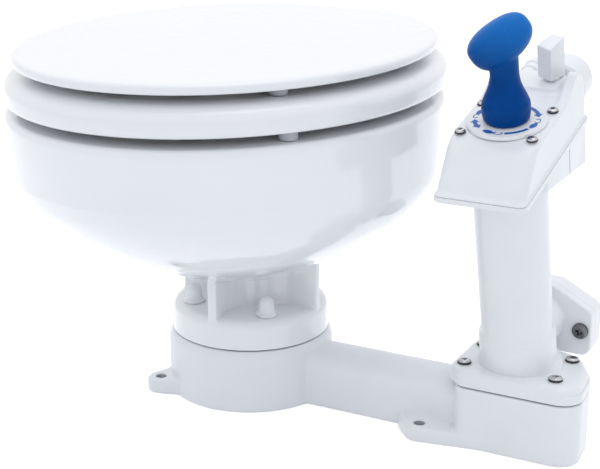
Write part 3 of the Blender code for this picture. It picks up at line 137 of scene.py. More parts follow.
# Rows give a share of the height, then of the spread (sideways and forwards) or of the inset
underside_shares = (
    (0.0, 0.09, 0.09), (0.05, 0.18, 0.205), (0.12, 0.285, 0.32), (0.20, 0.405, 0.425),
    (0.31, 0.56, 0.55), (0.46, 0.735, 0.69), (0.65, 0.90, 0.83), (0.84, 0.985, 0.94), (1.0, 1.0, 1.0))
inside_shares = (
    (1.0, 1.0), (0.66, 0.92), (0.42, 0.78), (0.22, 0.58), (0.09, 0.34), (0.025, 0.14), (0.0, 0.0))

# Foot bolts and their caps
foot_bolt_reach = 0.035
cap_flange_radius = 0.0090
cap_flange_height = 0.0028
cap_dome_radius = 0.0072
cap_height = 0.0160
cap_crown_share = 0.88
cap_crown_degrees = 78
cap_skirt_shares = ((0.8, 1.5), (0.84, 1.0), (0.96, 0.75), (1.0, 0.5), (1.0, 0.0))

# Seat and lid
board_back_limit = 0.162
seat_plan = (0.1661, 0.2015, 0.2025, board_back_limit)
seat_hole_plan = (0.1056, 0.138, 0.105, board_back_limit)
lid_plan = (0.1568, 0.196, 0.197, board_back_limit)
lid_dish = 0.0006
seat_profile_shares = (
    (0.0, 0.30), (0.02, 0.12), (0.10, 0.035), (0.24, 0.0), (0.48, 0.0), (0.72, 0.11),
    (0.88, 0.33), (0.965, 0.60), (1.0, 1.0))
seat_inside_shares = (
    (0.985, 0.75), (0.93, 0.42), (0.84, 0.22), (0.66, 0.08), (0.4, 0.0), (0.12, 0.03), (0.0, 0.12))
lid_edge_shares = (
    (0.0, 0.42), (0.08, 0.14), (0.25, 0.0), (0.52, 0.0), (0.74, 0.08), (0.90, 0.26), (0.98, 0.55),
    (1.0, 0.95))
lid_under_inset, lid_under_scales = 0.9, (0.02, 0.25, 0.5, 0.75, 0.92)
lid_top_inset, lid_top_scales = 0.95, (0.9, 0.7, 0.45, 0.2, 0.02)
seat_crown_shares = (0.35, 0.7)
button_edge_share = 0.2

# Hinge
hinge_y = 0.170
hinge_spacing = 0.0675
knuckle_radius = 0.0065
pin_hole_radius = 0.0028
post_width = 0.012
lug_width = 0.007
lug_clearance = 0.001
seat_lug_reach = 0.020
seat_lug_tip_share = 0.85
lid_lug_reach = 0.014
lid_lug_tip_radius = 0.0034
pad_front_y = 0.128
pad_thickness = 0.0060
pad_heel_setback = 0.0035
pad_heel_radius = 0.0028
hinge_edge = 0.0007
hinge_bolt_y = 0.139
hinge_bolt_head_radius = 0.0055
hinge_bolt_head_height = 0.0016

# Pump in its tilted frame
pump_tilt_degrees = 15
pump_axis_setback = 0.001
pump_screw_x = 0.037
pump_screw_y = 0.0213
pump_lobe_radius = 0.0105
pump_flange_edge = 0.004
barrel_root = 0.014
barrel_radius = 0.0275
barrel_bore_radius = 0.0225
barrel_length = 0.176
collar_radius = 0.0298
collar_height = 0.030
collar_blend = 0.006
collar_blend_shares = (0.2, 0.4, 0.6, 0.8, 1.0)
flare_height = 0.012
outlet_rise = 0.0215
outlet_boss_radius = 0.0215
outlet_bore_radius = 0.0160
outlet_plate_y = 0.048
outlet_plate_thickness = 0.0078
outlet_plate_half_width = 0.0435
outlet_plate_bottom = 0.0585
outlet_plate_shoulder = 0.099
outlet_plate_top = 0.1135
outlet_plate_corner = 0.008
outlet_plate_edge = 0.001
gable_degrees = 65
elbow_screw_x = 0.0347
elbow_screw_z = 0.0795

# Pump head
head_half_width = 0.0345
head_front = 0.0630
head_rear = 0.0820
head_corner = 0.0052
head_flange_thickness = 0.0045
head_flange_height = 0.1800
head_flange_edge = 0.0014
parting_edge = 0.0003
casing_inset = 0.0014
casing_edge = 0.0022
casing_front = 0.014
casing_underside_z = 0.2195
casing_blend_depth = 0.010
casing_groove_y = 0.036
casing_rear_inset = 0.0042
casing_groove_width = 0.0026
casing_groove_depth = 0.0012
casing_groove_stop = 0.001
hopper_shares = (
    (1.0, 0.0), (0.93, 0.07), (0.80, 0.22), (0.62, 0.42), (0.45, 0.62), (0.22, 0.84), (0.0, 1.0))
hopper_fit = 0.97
hopper_lean = 0.12
cover_inset = 0.0018
cover_lip_inset = 0.0004
cover_lip_height = 0.0013
cover_lip_edge = 0.0003
cover_foot_lap = 0.0004
cover_foot_radius = 0.0014
cover_height = 0.0297
cover_wall = 0.0034
cover_skirt_gap = 0.00005
cover_gap = 0.0016
cover_hole_radius = 0.0134
head_gasket_inset = 0.0075
cover_front_slope = 0.030
cover_corner = 0.0045
cover_front_corner = 0.0125
cover_edge = 0.0020
cover_front_shares = (
    (0.0, 0.0), (0.25, 0.17), (0.50, 0.38), (0.72, 0.57), (0.87, 0.76), (0.95, 0.98), (1.0, 1.30))
shoulder_height = 0.0125
shoulder_width = 0.0072
shoulder_start_y = 0.028
shoulder_peak_y = 0.0625
# Rows give shares of the run and of the rise
shoulder_shares = (
    (0.0, 0.0), (0.25, 0.10), (0.46, 0.27), (0.72, 0.60), (0.92, 0.93), (1.0, 1.0))
shoulder_rear_shares = ((0.12, 0.97), (0.55, 0.55))
shoulder_side_ease = 0.2
shoulder_rear_ease = 0.8
platform_height = 0.0035
platform_half_width = 0.019
platform_front_y = 0.051
platform_flare = 0.004
platform_front_flare = 1.6
platform_shares = ((0.0, 1.0), (0.45, 0.3), (1.0, 0.0))
cover_voxel = 0.0008
cover_soft_passes = 4
head_screw_x = 0.0265
head_screw_y = 0.0225

# Dial plate and its arrows
rod_radius = 0.006
dial_bore_gap = 0.0004
dial_radius = 0.0288
dial_thickness = 0.0024
dial_edge = 0.0008
arrow_ring_radius = 0.0226
arrow_half_width = 0.0015
arrow_head_half_width = 0.0032
arrow_thickness = 0.00012
arrow_head_degrees = 11
arrow_steps = 14
# Start, end, share of the width and ends with a head
arrow_strips = (
    (62, 19, 1.0, (1,)), (-74, -30, 0.85, ()), (-164, -128, 1.0, (-1, 1)), (100, 140, 1.0, (1,)))
leaf_length = 0.0098
leaf_half_width = 0.0023
leaf_fullness = 0.8
leaf_steps = 8
leaf_degrees = (-15, -105, 165)
curl_radius = 0.0034
curl_wire = 0.0009
curl_width_share = 0.6
curl_steps = 16
curl_opening_degrees = 150
curl_degrees = (4, -86, -177)

# Handle
handle_foot_radius = 0.0168
handle_grip_radius = 0.0175
handle_neck_radius = 0.0103
handle_grip_height = 0.013
handle_neck_height = 0.034
handle_height = 0.058
handle_foot_edge = 0.0015
handle_socket_depth = 0.020
# Rows give a share of the foot's edge inwards and up, or a radius and a share of the height
handle_foot_shares = ((1.0, 0.0), (0.3, 0.4), (0.0, 1.0))
grip_rows = ((handle_foot_radius, 0.15), (handle_grip_radius * 0.995, 0.5),
             (handle_grip_radius, 0.75), (handle_grip_radius * 0.985, 1.0))
neck_shares = ((1.0, 0.0), (0.70, 0.25), (0.36, 0.5), (0.12, 0.75), (0.0, 1.0))
knob_length = 0.0256
knob_breadth = 0.0168
knob_depth = 0.0165
knob_height = 0.0600
knob_tilt_degrees = 37
knob_shift = -0.0026
knob_top_share = 0.84
knob_under_share = 1.03
knob_taper_share = 0.11
knob_end_share = 0.86
knob_flat_share = 0.78
knob_voxel = 0.0007
knob_soft_passes = 5
knob_rows = 40

# Flush lever
lever_place = (0.0108, 0.0680)
lever_length = 0.0175
lever_width = 0.0124
lever_height = 0.031
lever_front_drop = 0.0024
lever_corner_drop = 0.0020
lever_foot_rise = 0.0030
lever_hub_radius = 0.0060
lever_edge = 0.0009
lever_turn_degrees = -18
lever_shaft_radius = 0.0035
lever_shaft_length = 0.024

# Hose fittings
fitting_spigot_length = 0.0042
# Bore, edge, then the radius and length of the spigot, the nut and the tail
spud_parts = (0.0049, 0.0006, (0.0070, 0.022), (0.0140, 0.004), (0.0095, 0.026))
outlet_parts = (0.0045, 0.0007, (0.0058, fitting_spigot_length), (0.0085, 0.008), (0.0075, 0.034))
inlet_drop = 0.026
intake_x = 0.012
intake_height = 0.2005
intake_nut_radius = 0.0195
intake_nut_length = 0.026
intake_nut_edge = 0.006
intake_tail_setback = 0.013
intake_tail_radius = 0.0100
intake_tail_bore = 0.0070
intake_tail_drop = 0.040
outlet_x = -0.0200
outlet_height = 0.198
intake_spigot_radius = 0.0082
barb_height = 0.0012
barb_pitch = 0.009
barb_tip_drop = barb_height / 8
barb_tip_run = barb_pitch / 12
barb_crest_run = barb_pitch / 6
housing_depth = 0.0235
housing_edge = 0.007
knee_radius = 0.0205
knee_y = 0.0880
knee_swell = 1.03
elbow_bore_start = 0.4
elbow_bore_share = 0.98
discharge_tail_length = 0.0540
elbow_voxel = 0.0010
elbow_soft_passes = 4

# Screws: radius and height of the head, length of the shank and metal
base_screw_head = 0.0032
screw_kinds = {"base_screw": (0.0056, base_screw_head, 0.026, "stainless"),
               "head_screw": (0.0040, 0.0026, 0.038, "stainless"),
               # the elbow screws take steel darkened by painted shade, standing in for the dark
               # surroundings they reflect
               "elbow_screw": (0.0066, 0.0034, 0.020, "painted_shade_steel")}
screw_shank_radius = 0.0019
dome_fullness = 0.55
dome_side_share = 0.35
dome_steps = 10
screw_turn_degrees = 37
recess_arm_share = 0.62
recess_width_share = 0.17
recess_depth_share = 0.72
recess_taper = (0.55, 0.7, 1.0)
# Shares of the head's radius and height that bound the rim given painted shade
rim_shade_share = 0.85
rim_shade_height_share = 0.55

# Finishes: detail and roughness of the noise that mottles, and of the one that varies the gloss
noise_low, noise_high = 0.3, 0.7
mottle_detail = (4.0, 0.55)
gloss_detail = (3.0, 0.6)
gloss_scale = 5
relief_detail = 2.0
turning_marks = (700.0, 0.000008)
metal_mottle = 160.0
metal_stretch = 0.35
white = (1.0, 1.0, 1.0, 1.0)
# Painted light: the lighter blue painted on the top of the handle's palm pad, and the heights over
# which it fades in
painted_light_colour = (0.014, 0.165, 0.54)
painted_light_low, painted_light_high = 0.300, 0.347

# Camera, floor and light
focal_length = 84.0
sensor_width = 36.0
near_limit = 0.01
camera_azimuth = 27.7
camera_elevation = 17.8
camera_across = 0.0423
camera_up = 0.1264
camera_back = 1.2251
floor_half_size = 6.0
floor_colour = (0.93, 0.935, 0.94, 1.0)
floor_roughness = 0.9
floor_specular = 0.1
floor_lift = 0.42
sky_colour = (0.945, 0.968, 1.02, 1.0)
sky_low, sky_high, sky_rise = 0.33, 1.02, 0.45
# Name, place, size and power
lamps = (("top", (0.1, 0.3, 2.0), (0.9, 0.9), 3.6), ("key", (-0.9, -1.5, 1.5), (1.3, 1.3), 0.8))
lamp_aim = Vector((0.08, 0.0, 0.2))

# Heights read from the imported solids
foot_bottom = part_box("bowl")[0].z
rim_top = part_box("bowl")[1].z
foot_top = foot_bottom + foot_thickness
core_top = foot_top + core_height
wall_bottom = foot_bottom + wall_foot
sump_z = foot_bottom + sump_height
bowl_gasket_low, bowl_gasket_high = (corner.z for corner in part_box("bowl_gasket"))
pump_gasket_low, pump_gasket_high = (corner.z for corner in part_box("base_valve_gasket"))
seat_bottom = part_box("seat_bumper_1")[1].z + touch_gap
seat_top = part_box("lid_bumper_1")[0].z - touch_gap
lid_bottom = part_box("lid_bumper_1")[1].z + touch_gap
lid_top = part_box("lid")[1].z
hinge_z = sum(corner.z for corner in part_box("hinge_pin_left")) / 2
pump_flange_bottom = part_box("pump_cylinder")[0].z
pump_flange_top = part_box("base_screw_1")[1].z - base_screw_head - touch_gap
outlet_z = pump_flange_top + outlet_rise
tilt = math.radians(pump_tilt_degrees)
barrel_y = pump_y + pump_axis_setback
pump_frame = Matrix.Translation((pump_x, barrel_y, pump_flange_top)) @ Matrix.Rotation(tilt, 4, 'X')
cover_bottom = head_flange_height + cover_gap
cover_top = cover_bottom + cover_height
platform_top = cover_top + platform_height
dial_bottom = cover_top + touch_gap
dial_top = dial_bottom + dial_thickness
handle_bottom = dial_top + touch_gap
valve_y = barrel_y + (pump_flange_top - pump_flange_bottom) * math.tan(tilt)


# Places, rows and outlines

def at(x, y, z=0.0):
    return Matrix.Translation((x, y, z))


def turned(degrees, axis='Z'):
    return Matrix.Rotation(math.radians(degrees), 4, axis)


def along_y(x, y, z):
    """Stand something turned about Z along +Y at a place."""
    return at(x, y, z) @ turned(-90, 'X')


def along_x(x, y, z, sign=1):
    """Stand something turned about Z along +X or -X at a place."""
    return at(x, y, z) @ turned(90 * sign, 'Y')


def blend(low, high, share):
    return low + (high - low) * share


def quarter_turn(steps, first=0):
    """Angles that share out a quarter turn."""
    return [math.pi / 2 * i / steps for i in range(first, steps + 1)]


def edge_levels(top, edge, steps=edge_steps):
    """Heights and insets of a quarter-round edge that ends at the top."""
    return [(top - edge * (1 - math.sin(t)), edge * (1 - math.cos(t))) for t in quarter_turn(steps)]


def smooth_rows(rows, steps=3):
    """More rows between the given ones, along a smooth curve through them."""
    result = []
    for i in range(len(rows) - 1):
        near = [rows[max(0, min(len(rows) - 1, i + k))] for k in (-1, 0, 1, 2)]
        for t in (step / steps for step in range(steps)):
            result.append(tuple(
                0.5 * (2 * q + (r - p) * t + (2 * p - 5 * q + 4 * r - s) * t ** 2
                       + (3 * q - p - 3 * r + s) * t ** 3) for p, q, r, s in zip(*near)))
    return result + [tuple(rows[-1])]


def arc(centre_x, centre_y, radius, start, end, steps=corner_steps):
    turns = [math.radians(start + (end - start) * i / steps) for i in range(steps + 1)]
    return [(centre_x + radius * math.cos(t), centre_y + radius * math.sin(t)) for t in turns]


def rounded_box(x_low, x_high, y_low, y_high, corner, front_corner=None):
    """Outline of a rectangle with round corners, the front pair of a size of its own if given."""
    front = front_corner or corner
    return (arc(x_high - front, y_low + front, front, -90, 0)
            + arc(x_high - corner, y_high - corner, corner, 0, 90)
            + arc(x_low + corner, y_high - corner, corner, 90, 180)
            + arc(x_low + front, y_low + front, front, 180, 270))


def square_box(x_low, x_high, y_low, y_high):
    return [(x_low, y_low), (x_high, y_low), (x_high, y_high), (x_low, y_high)]


def level(outline, z):
    return [(x, y, z) for x, y in outline]


# Making meshes

def solid(bm, place=upright):
    """A mesh object of a bmesh, with its place in its mesh."""
    bm.transform(place)
    bmesh.ops.remove_doubles(bm, verts=bm.verts, dist=weld)
    bmesh.ops.recalc_face_normals(bm, faces=bm.faces)
    mesh = bpy.data.meshes.new("solid")
    bm.to_mesh(mesh)
    bm.free()
    return linked("solid", mesh)


def linked(name, data):
    made = bpy.data.objects.new(name, data)
    bpy.context.scene.collection.objects.link(made)
    return made


def spun(profile, place=upright, steps=round_turns, closed=False):
    """Turn a profile of (radius, height) points about Z."""
    bm = bmesh.new()
    points = [bm.verts.new((radius, 0.0, height)) for radius, height in profile]
    edges = [bm.edges.new(pair) for pair in zip(points, points[1:])]
    if closed:
        edges.append(bm.edges.new((points[-1], points[0])))
    bmesh.ops.spin(bm, geom=points + edges, cent=(0.0, 0.0, 0.0), axis=(0.0, 0.0, 1.0),
                   angle=2 * math.pi, steps=steps, use_merge=True, use_duplicate=False)
    return solid(bm, place)


def rod(radius, bottom, top, place=upright, steps=small_turns):
    return spun([(0.0, bottom), (radius, bottom), (radius, top), (0.0, top)], place, steps)


def lofted(rings, place=upright, closed=False):
    """Extrude a ring through a row of rings, and cap both ends or close the row."""
    bm = bmesh.new()
    row = [bm.verts.new(point) for point in rings[0]]
    edges = [bm.edges.new(pair) for pair in zip(row, row[1:] + row[:1])]
    if not closed:
        bm.faces.new(row)
    for ring in rings[1:] + (rings[:1] if closed else []):
        made = set(bmesh.ops.extrude_edge_only(bm, edges=edges)["geom"])
        row = [next(e.other_vert(v) for e in v.link_edges if e.other_vert(v) in made) for v in row]
        edges = [bm.edges.get(pair) for pair in zip(row, row[1:] + row[:1])]
        for vert, point in zip(row, ring):
            vert.co = point
    if not closed:
        bm.faces.new(row)
    return solid(bm, place)


def raise_face(bm, outline, direction):
    """Extrude a closed outline of 3-D points along a vector."""
    face = bm.faces.new([bm.verts.new(point) for point in outline])
    far = bmesh.ops.extrude_face_region(bm, geom=[face])
    bmesh.ops.translate(bm, verts=[v for v in far["geom"] if isinstance(v, bmesh.types.BMVert)],
                        vec=Vector(direction))
    return bm


def extruded(outline, direction):
    return solid(raise_face(bmesh.new(), outline, direction))


def prism(outline, bottom, top, place=upright):
    return solid(raise_face(bmesh.new(), level(outline, bottom), (0.0, 0.0, top - bottom)), place)


def hull(points, place=upright):
    """The convex solid round a set of 3-D points."""
    bm = bmesh.new()
    verts = [bm.verts.new(point) for point in points]
    wrapped = bmesh.ops.convex_hull(bm, input=verts)
    loose = {v for v in wrapped["geom_interior"] + wrapped["geom_unused"]
             if isinstance(v, bmesh.types.BMVert)}
    bmesh.ops.delete(bm, geom=list(loose), context='VERTS')
    bmesh.ops.dissolve_limit(bm, angle_limit=flat_angle, verts=bm.verts, edges=bm.edges)
    return solid(bm, place)


def hull_plate(circles, levels, steps=small_turns):
    """A plate round circles given as (x, y, radius), drawn in by an inset at each level."""
    return hull([(px, py, z) for z, inset in levels for x, y, radius in circles
                 for px, py in arc(x, y, radius - inset, 0, 360, steps)[:-1]])


def hull_across(circles, x_low, x_high):
    """A plate across X round circles given as (y, z, radius), with its edges eased."""
    edge = hinge_edge
    return hull([(px, y, z) for px, inset in ((x_low, edge), (x_low + edge, 0.0),
                                              (x_high - edge, 0.0), (x_high, edge))
                 for cy, cz, radius in circles
                 for y, z in arc(cy, cz, radius - inset, 0, 360, small_turns)[:-1]])


def settle(shape):
    """Take a shape's modifiers into its mesh."""
    bpy.context.view_layer.update()
    depsgraph = bpy.context.evaluated_depsgraph_get()
    mesh = bpy.data.meshes.new_from_object(shape.evaluated_get(depsgraph))
    old = shape.data
    shape.modifiers.clear()
    shape.data = mesh
    bpy.data.meshes.remove(old)


def modify(shape, kind, **options):
    """Add a modifier with its options."""
    modifier = shape.modifiers.new(kind.lower(), kind)
    for name, value in options.items():
        setattr(modifier, name, value)


def combine(shape, operation, tools):
    for tool in tools:
        modify(shape, 'BOOLEAN', operation=operation, solver='EXACT', object=tool)
        settle(shape)
        bpy.data.objects.remove(tool, do_unlink=True)


def join(shape, *tools):
    combine(shape, 'UNION', tools)


def cut(shape, *tools):
    combine(shape, 'DIFFERENCE', tools)


def cast(shape, voxel, passes):
    """Melt joined shapes into one skin with small fillets, as a moulding has."""
    modify(shape, 'REMESH', mode='VOXEL', voxel_size=voxel)
    modify(shape, 'SMOOTH', iterations=passes, factor=smoothing)
    settle(shape)


def finished(name, shape, finish, node=None, body="root", place=upright, sharp_degrees=35):
    """Name a shape, give it its finish and its body, and let it stand for its CAD node."""
    shape.name = name
    shape.data.name = name
    shape.data.transform(place)
    shape.data.materials.clear()
    shape.data.materials.append(finishes[finish])
    shape.data.shade_smooth()
    shape.data.set_sharp_from_angle(angle=math.radians(sharp_degrees))
    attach(shape, body)
    if node:
        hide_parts(node)


def paint_shade_on_faces(shape, finish, chosen):
    """Give a second finish, a painted shade, to the faces whose centre a test picks."""
    shape.data.materials.append(finishes[finish])
    for face in shape.data.polygons:
        if chosen(face.center):
            face.material_index = 1


def give(finish, *nodes):
    """Give CAD nodes a finish."""
    for node in nodes:
        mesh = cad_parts[node].data
        mesh.materials.clear()
        mesh.materials.append(finishes[finish])


# Materials

def node_tree(name):
    material = bpy.data.materials.new(name)
    material.use_nodes = True
    return material, material.node_tree, material.node_tree.nodes["Principled BSDF"]


def feed(tree, node, inputs):
    """Link each input that is given a socket, and set the others."""
    for name, value in inputs.items():
        if isinstance(value, bpy.types.NodeSocket):
            tree.links.new(value, node.inputs[name])
        else:
            node.inputs[name].default_value = value


def add_node(tree, kind, inputs, output, **options):
    """Add a node with its options and inputs, and give its named output."""
    node = tree.nodes.new("ShaderNode" + kind)
    for name, value in options.items():
        setattr(node, name, value)
    feed(tree, node, inputs)
    return node.outputs[output]


def noise(tree, vector, scale, detail, roughness=0.5):
    """Noise whose scale is in features per metre."""
    return add_node(tree, "TexNoise", {"Vector": vector, "Scale": scale, "Detail": detail,
                                       "Roughness": roughness}, "Fac")


def ranged(tree, value, low, high, start=noise_low, end=noise_high, curve='LINEAR'):
    """Spread a value from one range over another."""
    return add_node(tree, "MapRange", {"Value": value, "From Min": start, "From Max": end,
                                       "To Min": low, "To Max": high}, "Result",
                    interpolation_type=curve)


def mixed(tree, first, second, share):
    return add_node(tree, "Mix", {"A": first, "B": second, "Factor": share}, "Result",
                    data_type='RGBA')


def height_in(tree, source="Object"):
    """Z of the texture coordinates."""
    place = add_node(tree, "TexCoord", {}, source)
    return add_node(tree, "SeparateXYZ", {"Vector": place}, "Z")


finishes = {}


def moulded(name, light, dark, roughness, *bumps, mottle=28.0, metallic=0.0, coat=0.0,
            coat_roughness=0.06, specular=0.5, anisotropic=0.0):
    """A finish with faint mottling, uneven gloss and a fine surface relief.

    roughness is a low and high value, and bumps are (features per metre, depth in metres).
    """
    material, tree, shader = node_tree(name)
    vector = add_node(tree, "TexCoord", {}, "Object")
    cloud = ranged(tree, noise(tree, vector, mottle, *mottle_detail), 0.0, 1.0)
    gloss = ranged(tree, noise(tree, vector, mottle * gloss_scale, *gloss_detail), *roughness)
    feed(tree, shader, {
        "Base Color": mixed(tree, (*light, 1.0), (*dark, 1.0), cloud), "Roughness": gloss,
        "Metallic": metallic, "Coat Weight": coat, "Coat Roughness": coat_roughness,
        "Specular IOR Level": specular, "Anisotropic": anisotropic})
    under = {}
    for scale, depth in bumps:
        relief = noise(tree, vector, scale, relief_detail)
        under = {"Normal": add_node(tree, "Bump", {"Height": relief, "Distance": depth,
                                                   "Strength": 1.0, **under}, "Normal")}
    feed(tree, shader, under)
    finishes[name] = material


def turned_metal(name, light, dark, roughness):
    """Bright metal with fine turning marks across it."""
    moulded(name, light, dark, roughness, turning_marks, mottle=metal_mottle, metallic=1.0,
            anisotropic=metal_stretch)


def painted_top_light(finish, colour, low, high):
    """Turn a finish to a lighter colour from one height up to another and above it: painted light on
    the top of the handle's palm pad, where light from above falls.
    """
    tree = finishes[finish].node_tree
    shader = tree.nodes["Principled BSDF"]
    under = shader.inputs["Base Color"].links[0].from_socket
    share = ranged(tree, height_in(tree), 0.0, 1.0, low, high, 'SMOOTHSTEP')
    feed(tree, shader, {"Base Color": mixed(tree, under, (*colour, 1.0), share)})


moulded("white_plastic", (0.865, 0.875, 0.895), (0.84, 0.85, 0.873), (0.28, 0.36),
        (650.0, 0.000012), (90.0, 0.00003), coat=0.15, coat_roughness=0.2)
moulded("dial_plastic", (0.875, 0.875, 0.885), (0.855, 0.855, 0.87), (0.20, 0.28),
        (700.0, 0.000006), coat=0.3, coat_roughness=0.1)
moulded("white_ceramic", (0.885, 0.893, 0.91), (0.873, 0.882, 0.90), (0.10, 0.15),
        (55.0, 0.00005), (420.0, 0.000004), mottle=14.0, coat=0.7, coat_roughness=0.04)
moulded("white_enamel", (0.875, 0.88, 0.893), (0.86, 0.867, 0.88), (0.15, 0.21),
        (300.0, 0.000012), (45.0, 0.00002), mottle=18.0, coat=0.5, coat_roughness=0.08)
moulded("blue_plastic", (0.0, 0.062, 0.275), (0.0, 0.050, 0.23), (0.26, 0.34),
        (600.0, 0.00002), (160.0, 0.00003), mottle=60.0, specular=0.06)
# The top of the handle gets painted light: a lighter blue above a height
painted_top_light("blue_plastic", painted_light_colour, painted_light_low, painted_light_high)
moulded("blue_ink", (0.002, 0.13, 0.48), (0.002, 0.11, 0.42), (0.35, 0.45),
        (700.0, 0.000006), mottle=200.0)
# Painted shade: a darker grey for the bores of the ear holes, standing in for the shadow inside them
moulded("painted_hole_shade", (0.50, 0.505, 0.52), (0.42, 0.425, 0.44), (0.7, 0.85),
        (500.0, 0.00002), mottle=150.0, specular=0.1)
# Painted shade: near-black steel on the lower rim of each screw head, standing in for a dark
# reflection
moulded("painted_rim_shade", (0.045, 0.046, 0.05), (0.03, 0.031, 0.034), (0.35, 0.5),
        (700.0, 0.000008), mottle=160.0, specular=0.3)
moulded("black_rubber", (0.020, 0.021, 0.024), (0.012, 0.013, 0.016), (0.62, 0.78),
        (700.0, 0.00003), mottle=120.0)
moulded("grey_rubber", (0.55, 0.56, 0.58), (0.48, 0.49, 0.51), (0.55, 0.70),
        (700.0, 0.00002), mottle=90.0)
turned_metal("stainless", (0.62, 0.625, 0.64), (0.48, 0.485, 0.50), (0.18, 0.28))
# Painted shade: steel darkened for the elbow screws, standing in for a dark reflection rather than
# the metal's own colour
turned_metal("painted_shade_steel", (0.20, 0.202, 0.21), (0.12, 0.122, 0.13), (0.24, 0.36))
turned_metal("brass", (0.72, 0.53, 0.24), (0.60, 0.42, 0.17), (0.25, 0.38))


# Base casting and its gasket

def block_circles(grow=0.0, setback=0.0):
    """Circles that the pump block's plan runs round: small corners, and a full far end."""
    low, high = pump_y - block_half_depth, pump_y + block_half_depth
    left, right = pump_x - block_left, pump_x + block_right - setback
    end, back = right - block_end_setback, right - block_back_setback
    return [(x + sx * radius, y + sy * radius, radius + grow) for x, sx, y, sy, radius in (
        (left, 1, low, 1, block_corner), (left, 1, high, -1, block_corner),
        (right, -1, low, 1, block_front_corner), (end, -1, low, 1, block_end_radius),
        (back, -1, high, -1, block_back_corner))]


def channel_outline():
    """Flat-bottomed arch across the channel."""
    side = channel_height - channel_crown
    turns = [math.pi * i / small_turns for i in range(small_turns + 1)]
    crown = [(0.0, -channel_half_width * math.cos(t), side + channel_crown * math.sin(t))
             for t in turns]
    return [(0.0, -channel_half_width, 0.0)] + crown + [(0.0, channel_half_width, 0.0)]


def base_casting():
    """Drum, channel, pump block and ears, melted into one moulding."""
    side = base_height - drum_shoulder
    shoulder = [(blend(drum_radius, drum_seat_radius, share),
                 base_height - drum_shoulder * (1 - rise)) for share, rise in drum_shoulder_shares]
    base = spun([(0.0, 0.0), (drum_radius, 0.0), (drum_radius, side)] + shoulder
                + [(0.0, base_height)], steps=fine_turns)
    join(base, extruded(channel_outline(), (pump_x, 0.0, 0.0)),
         hull_plate(block_circles(), [(0.0, 0.0), (block_height, 0.0)], round_turns))
    ear_levels = [(0.0, 0.0)] + edge_levels(ear_thickness, ear_edge)
    holes = []
    for side in (-1, 1):
        x, y = drum_ear[0], side * drum_ear[1]
        join(base, hull_plate([(x, y, ear_radius), (x * ear_root_share, y * ear_root_share,
                                                    ear_radius * ear_root_growth)], ear_levels))
        x, y = pump_ear[0], side * pump_ear[1]
        edge_y = side * (block_half_depth - block_corner) + pump_y
        join(base, hull_plate([(x, y, ear_radius), (x, y / 2, ear_radius * pump_ear_growth),
                               (x + pump_ear_run, edge_y, ear_radius)], ear_levels))
        for x, y in (drum_ear, pump_ear):
            holes.append(Vector((x, side * y)))
            cut(base, rod(ear_hole_radius, -overrun, ear_thickness + overrun, at(x, side * y)))
    cut(base, rod(well_radius, base_floor, base_height + overrun, steps=round_turns),
        rod(passage_radius, 0.0, pump_x, along_x(0.0, valve_y, passage_rise)),
        rod(pump_well_radius, base_floor, block_height + overrun, at(pump_x, valve_y)))
    cast(base, casting_voxel, casting_soft_passes)
    finished("base_moulding", base, "white_plastic", "base_casting")
    # The bores of the ear holes get painted shade, darker than the moulding round them
    paint_shade_on_faces(base, "painted_hole_shade", lambda centre: centre.z < ear_thickness - ear_hole_lip and any(
        (centre.xy - hole).length < ear_hole_radius + ear_hole_lip for hole in holes))


def washer(inner, outer, bottom, top):
    return spun([(inner, bottom), (outer, bottom), (outer, top), (inner, top)],
                steps=fine_turns, closed=True)


def bowl_gasket():
    outer = drum_seat_radius - seam_step_width - touch_gap
    finished("bowl_foot_gasket", washer(well_radius, outer, bowl_gasket_low, bowl_gasket_high),
             "black_rubber", "bowl_gasket")


# Bowl

def oval(plan, z, grow=0.0, shift=1.0):
    """Ring of two half ellipses, held by a rounded turn where the back reaches its limit."""
    half_width, front, back, limit = plan
    points = []
    for i in range(fine_turns):
        turn = 2 * math.pi * i / fine_turns
        length = back if math.sin(turn) > 0 else front
        y = bowl_centre_y * shift + (length + grow) * math.sin(turn)
        over = math.log1p(math.exp((y - (limit + grow)) / bowl_back_softness))
        points.append((math.cos(turn) * (half_width + grow), y - bowl_back_softness * over, z))
    return points


def swelling_oval(start, plan, z, spread, front_spread, grow=0.0):
    """A plan's ring on its way from a circle to its full size."""
    *reaches, limit = plan
    grown = [blend(start, reach + grow, share)
             for reach, share in zip(reaches, (spread, front_spread, spread))]
    return oval((*grown, limit), z, shift=spread)


def bowl_rings():
    """Rings up the bowl's outside, over the rim, round its channel and down to the outlet."""
    rings = [swelling_oval(core_radius, bowl_plan, core_top - core_height / 4, 0.0, 0.0)]
    rings += [swelling_oval(core_radius, bowl_plan, blend(core_top, wall_bottom, rise),
                            min(spread, 1.0), min(front_spread, 1.0))
              for rise, spread, front_spread in smooth_rows(underside_shares, profile_steps)]
    rings += [oval(bowl_plan, z, -inset)
              for z, inset in edge_levels(rim_top, rim_edge, fine_edge_steps)]
    rings += [oval(rim_plan, rim_top - rim_lip_edge * (1 - math.cos(t)),
                   rim_lip_edge * (1 - math.sin(t))) for t in quarter_turn(fine_edge_steps)]
    channel = rim_lip_edge + rim_channel_width
    rings += [oval(rim_plan, rim_top - depth, grow) for depth, grow in (
        (rim_lip_depth, 0.0), (rim_lip_depth, rim_lip_edge),
        (rim_channel_depth, rim_lip_edge), (rim_channel_depth, channel))]
    inside_top = rim_top - rim_lip_depth - rim_lip_edge
    return rings + [swelling_oval(outlet_radius, rim_plan, blend(sump_z, inside_top, rise),
                                  spread, spread, channel)
                    for rise, spread in smooth_rows(inside_shares, profile_steps)]


def web_outline():
    """Plan of one web, flared where it meets the core."""
    flare = [(blend(core_radius + web_flare, core_radius - web_flare / 2, t),
              web_half_thickness + web_flare * t ** 2) for t in web_flare_shares]
    upper = [(web_reach, web_half_thickness)] + flare
    return upper + [(x, -y) for x, y in reversed(upper)]


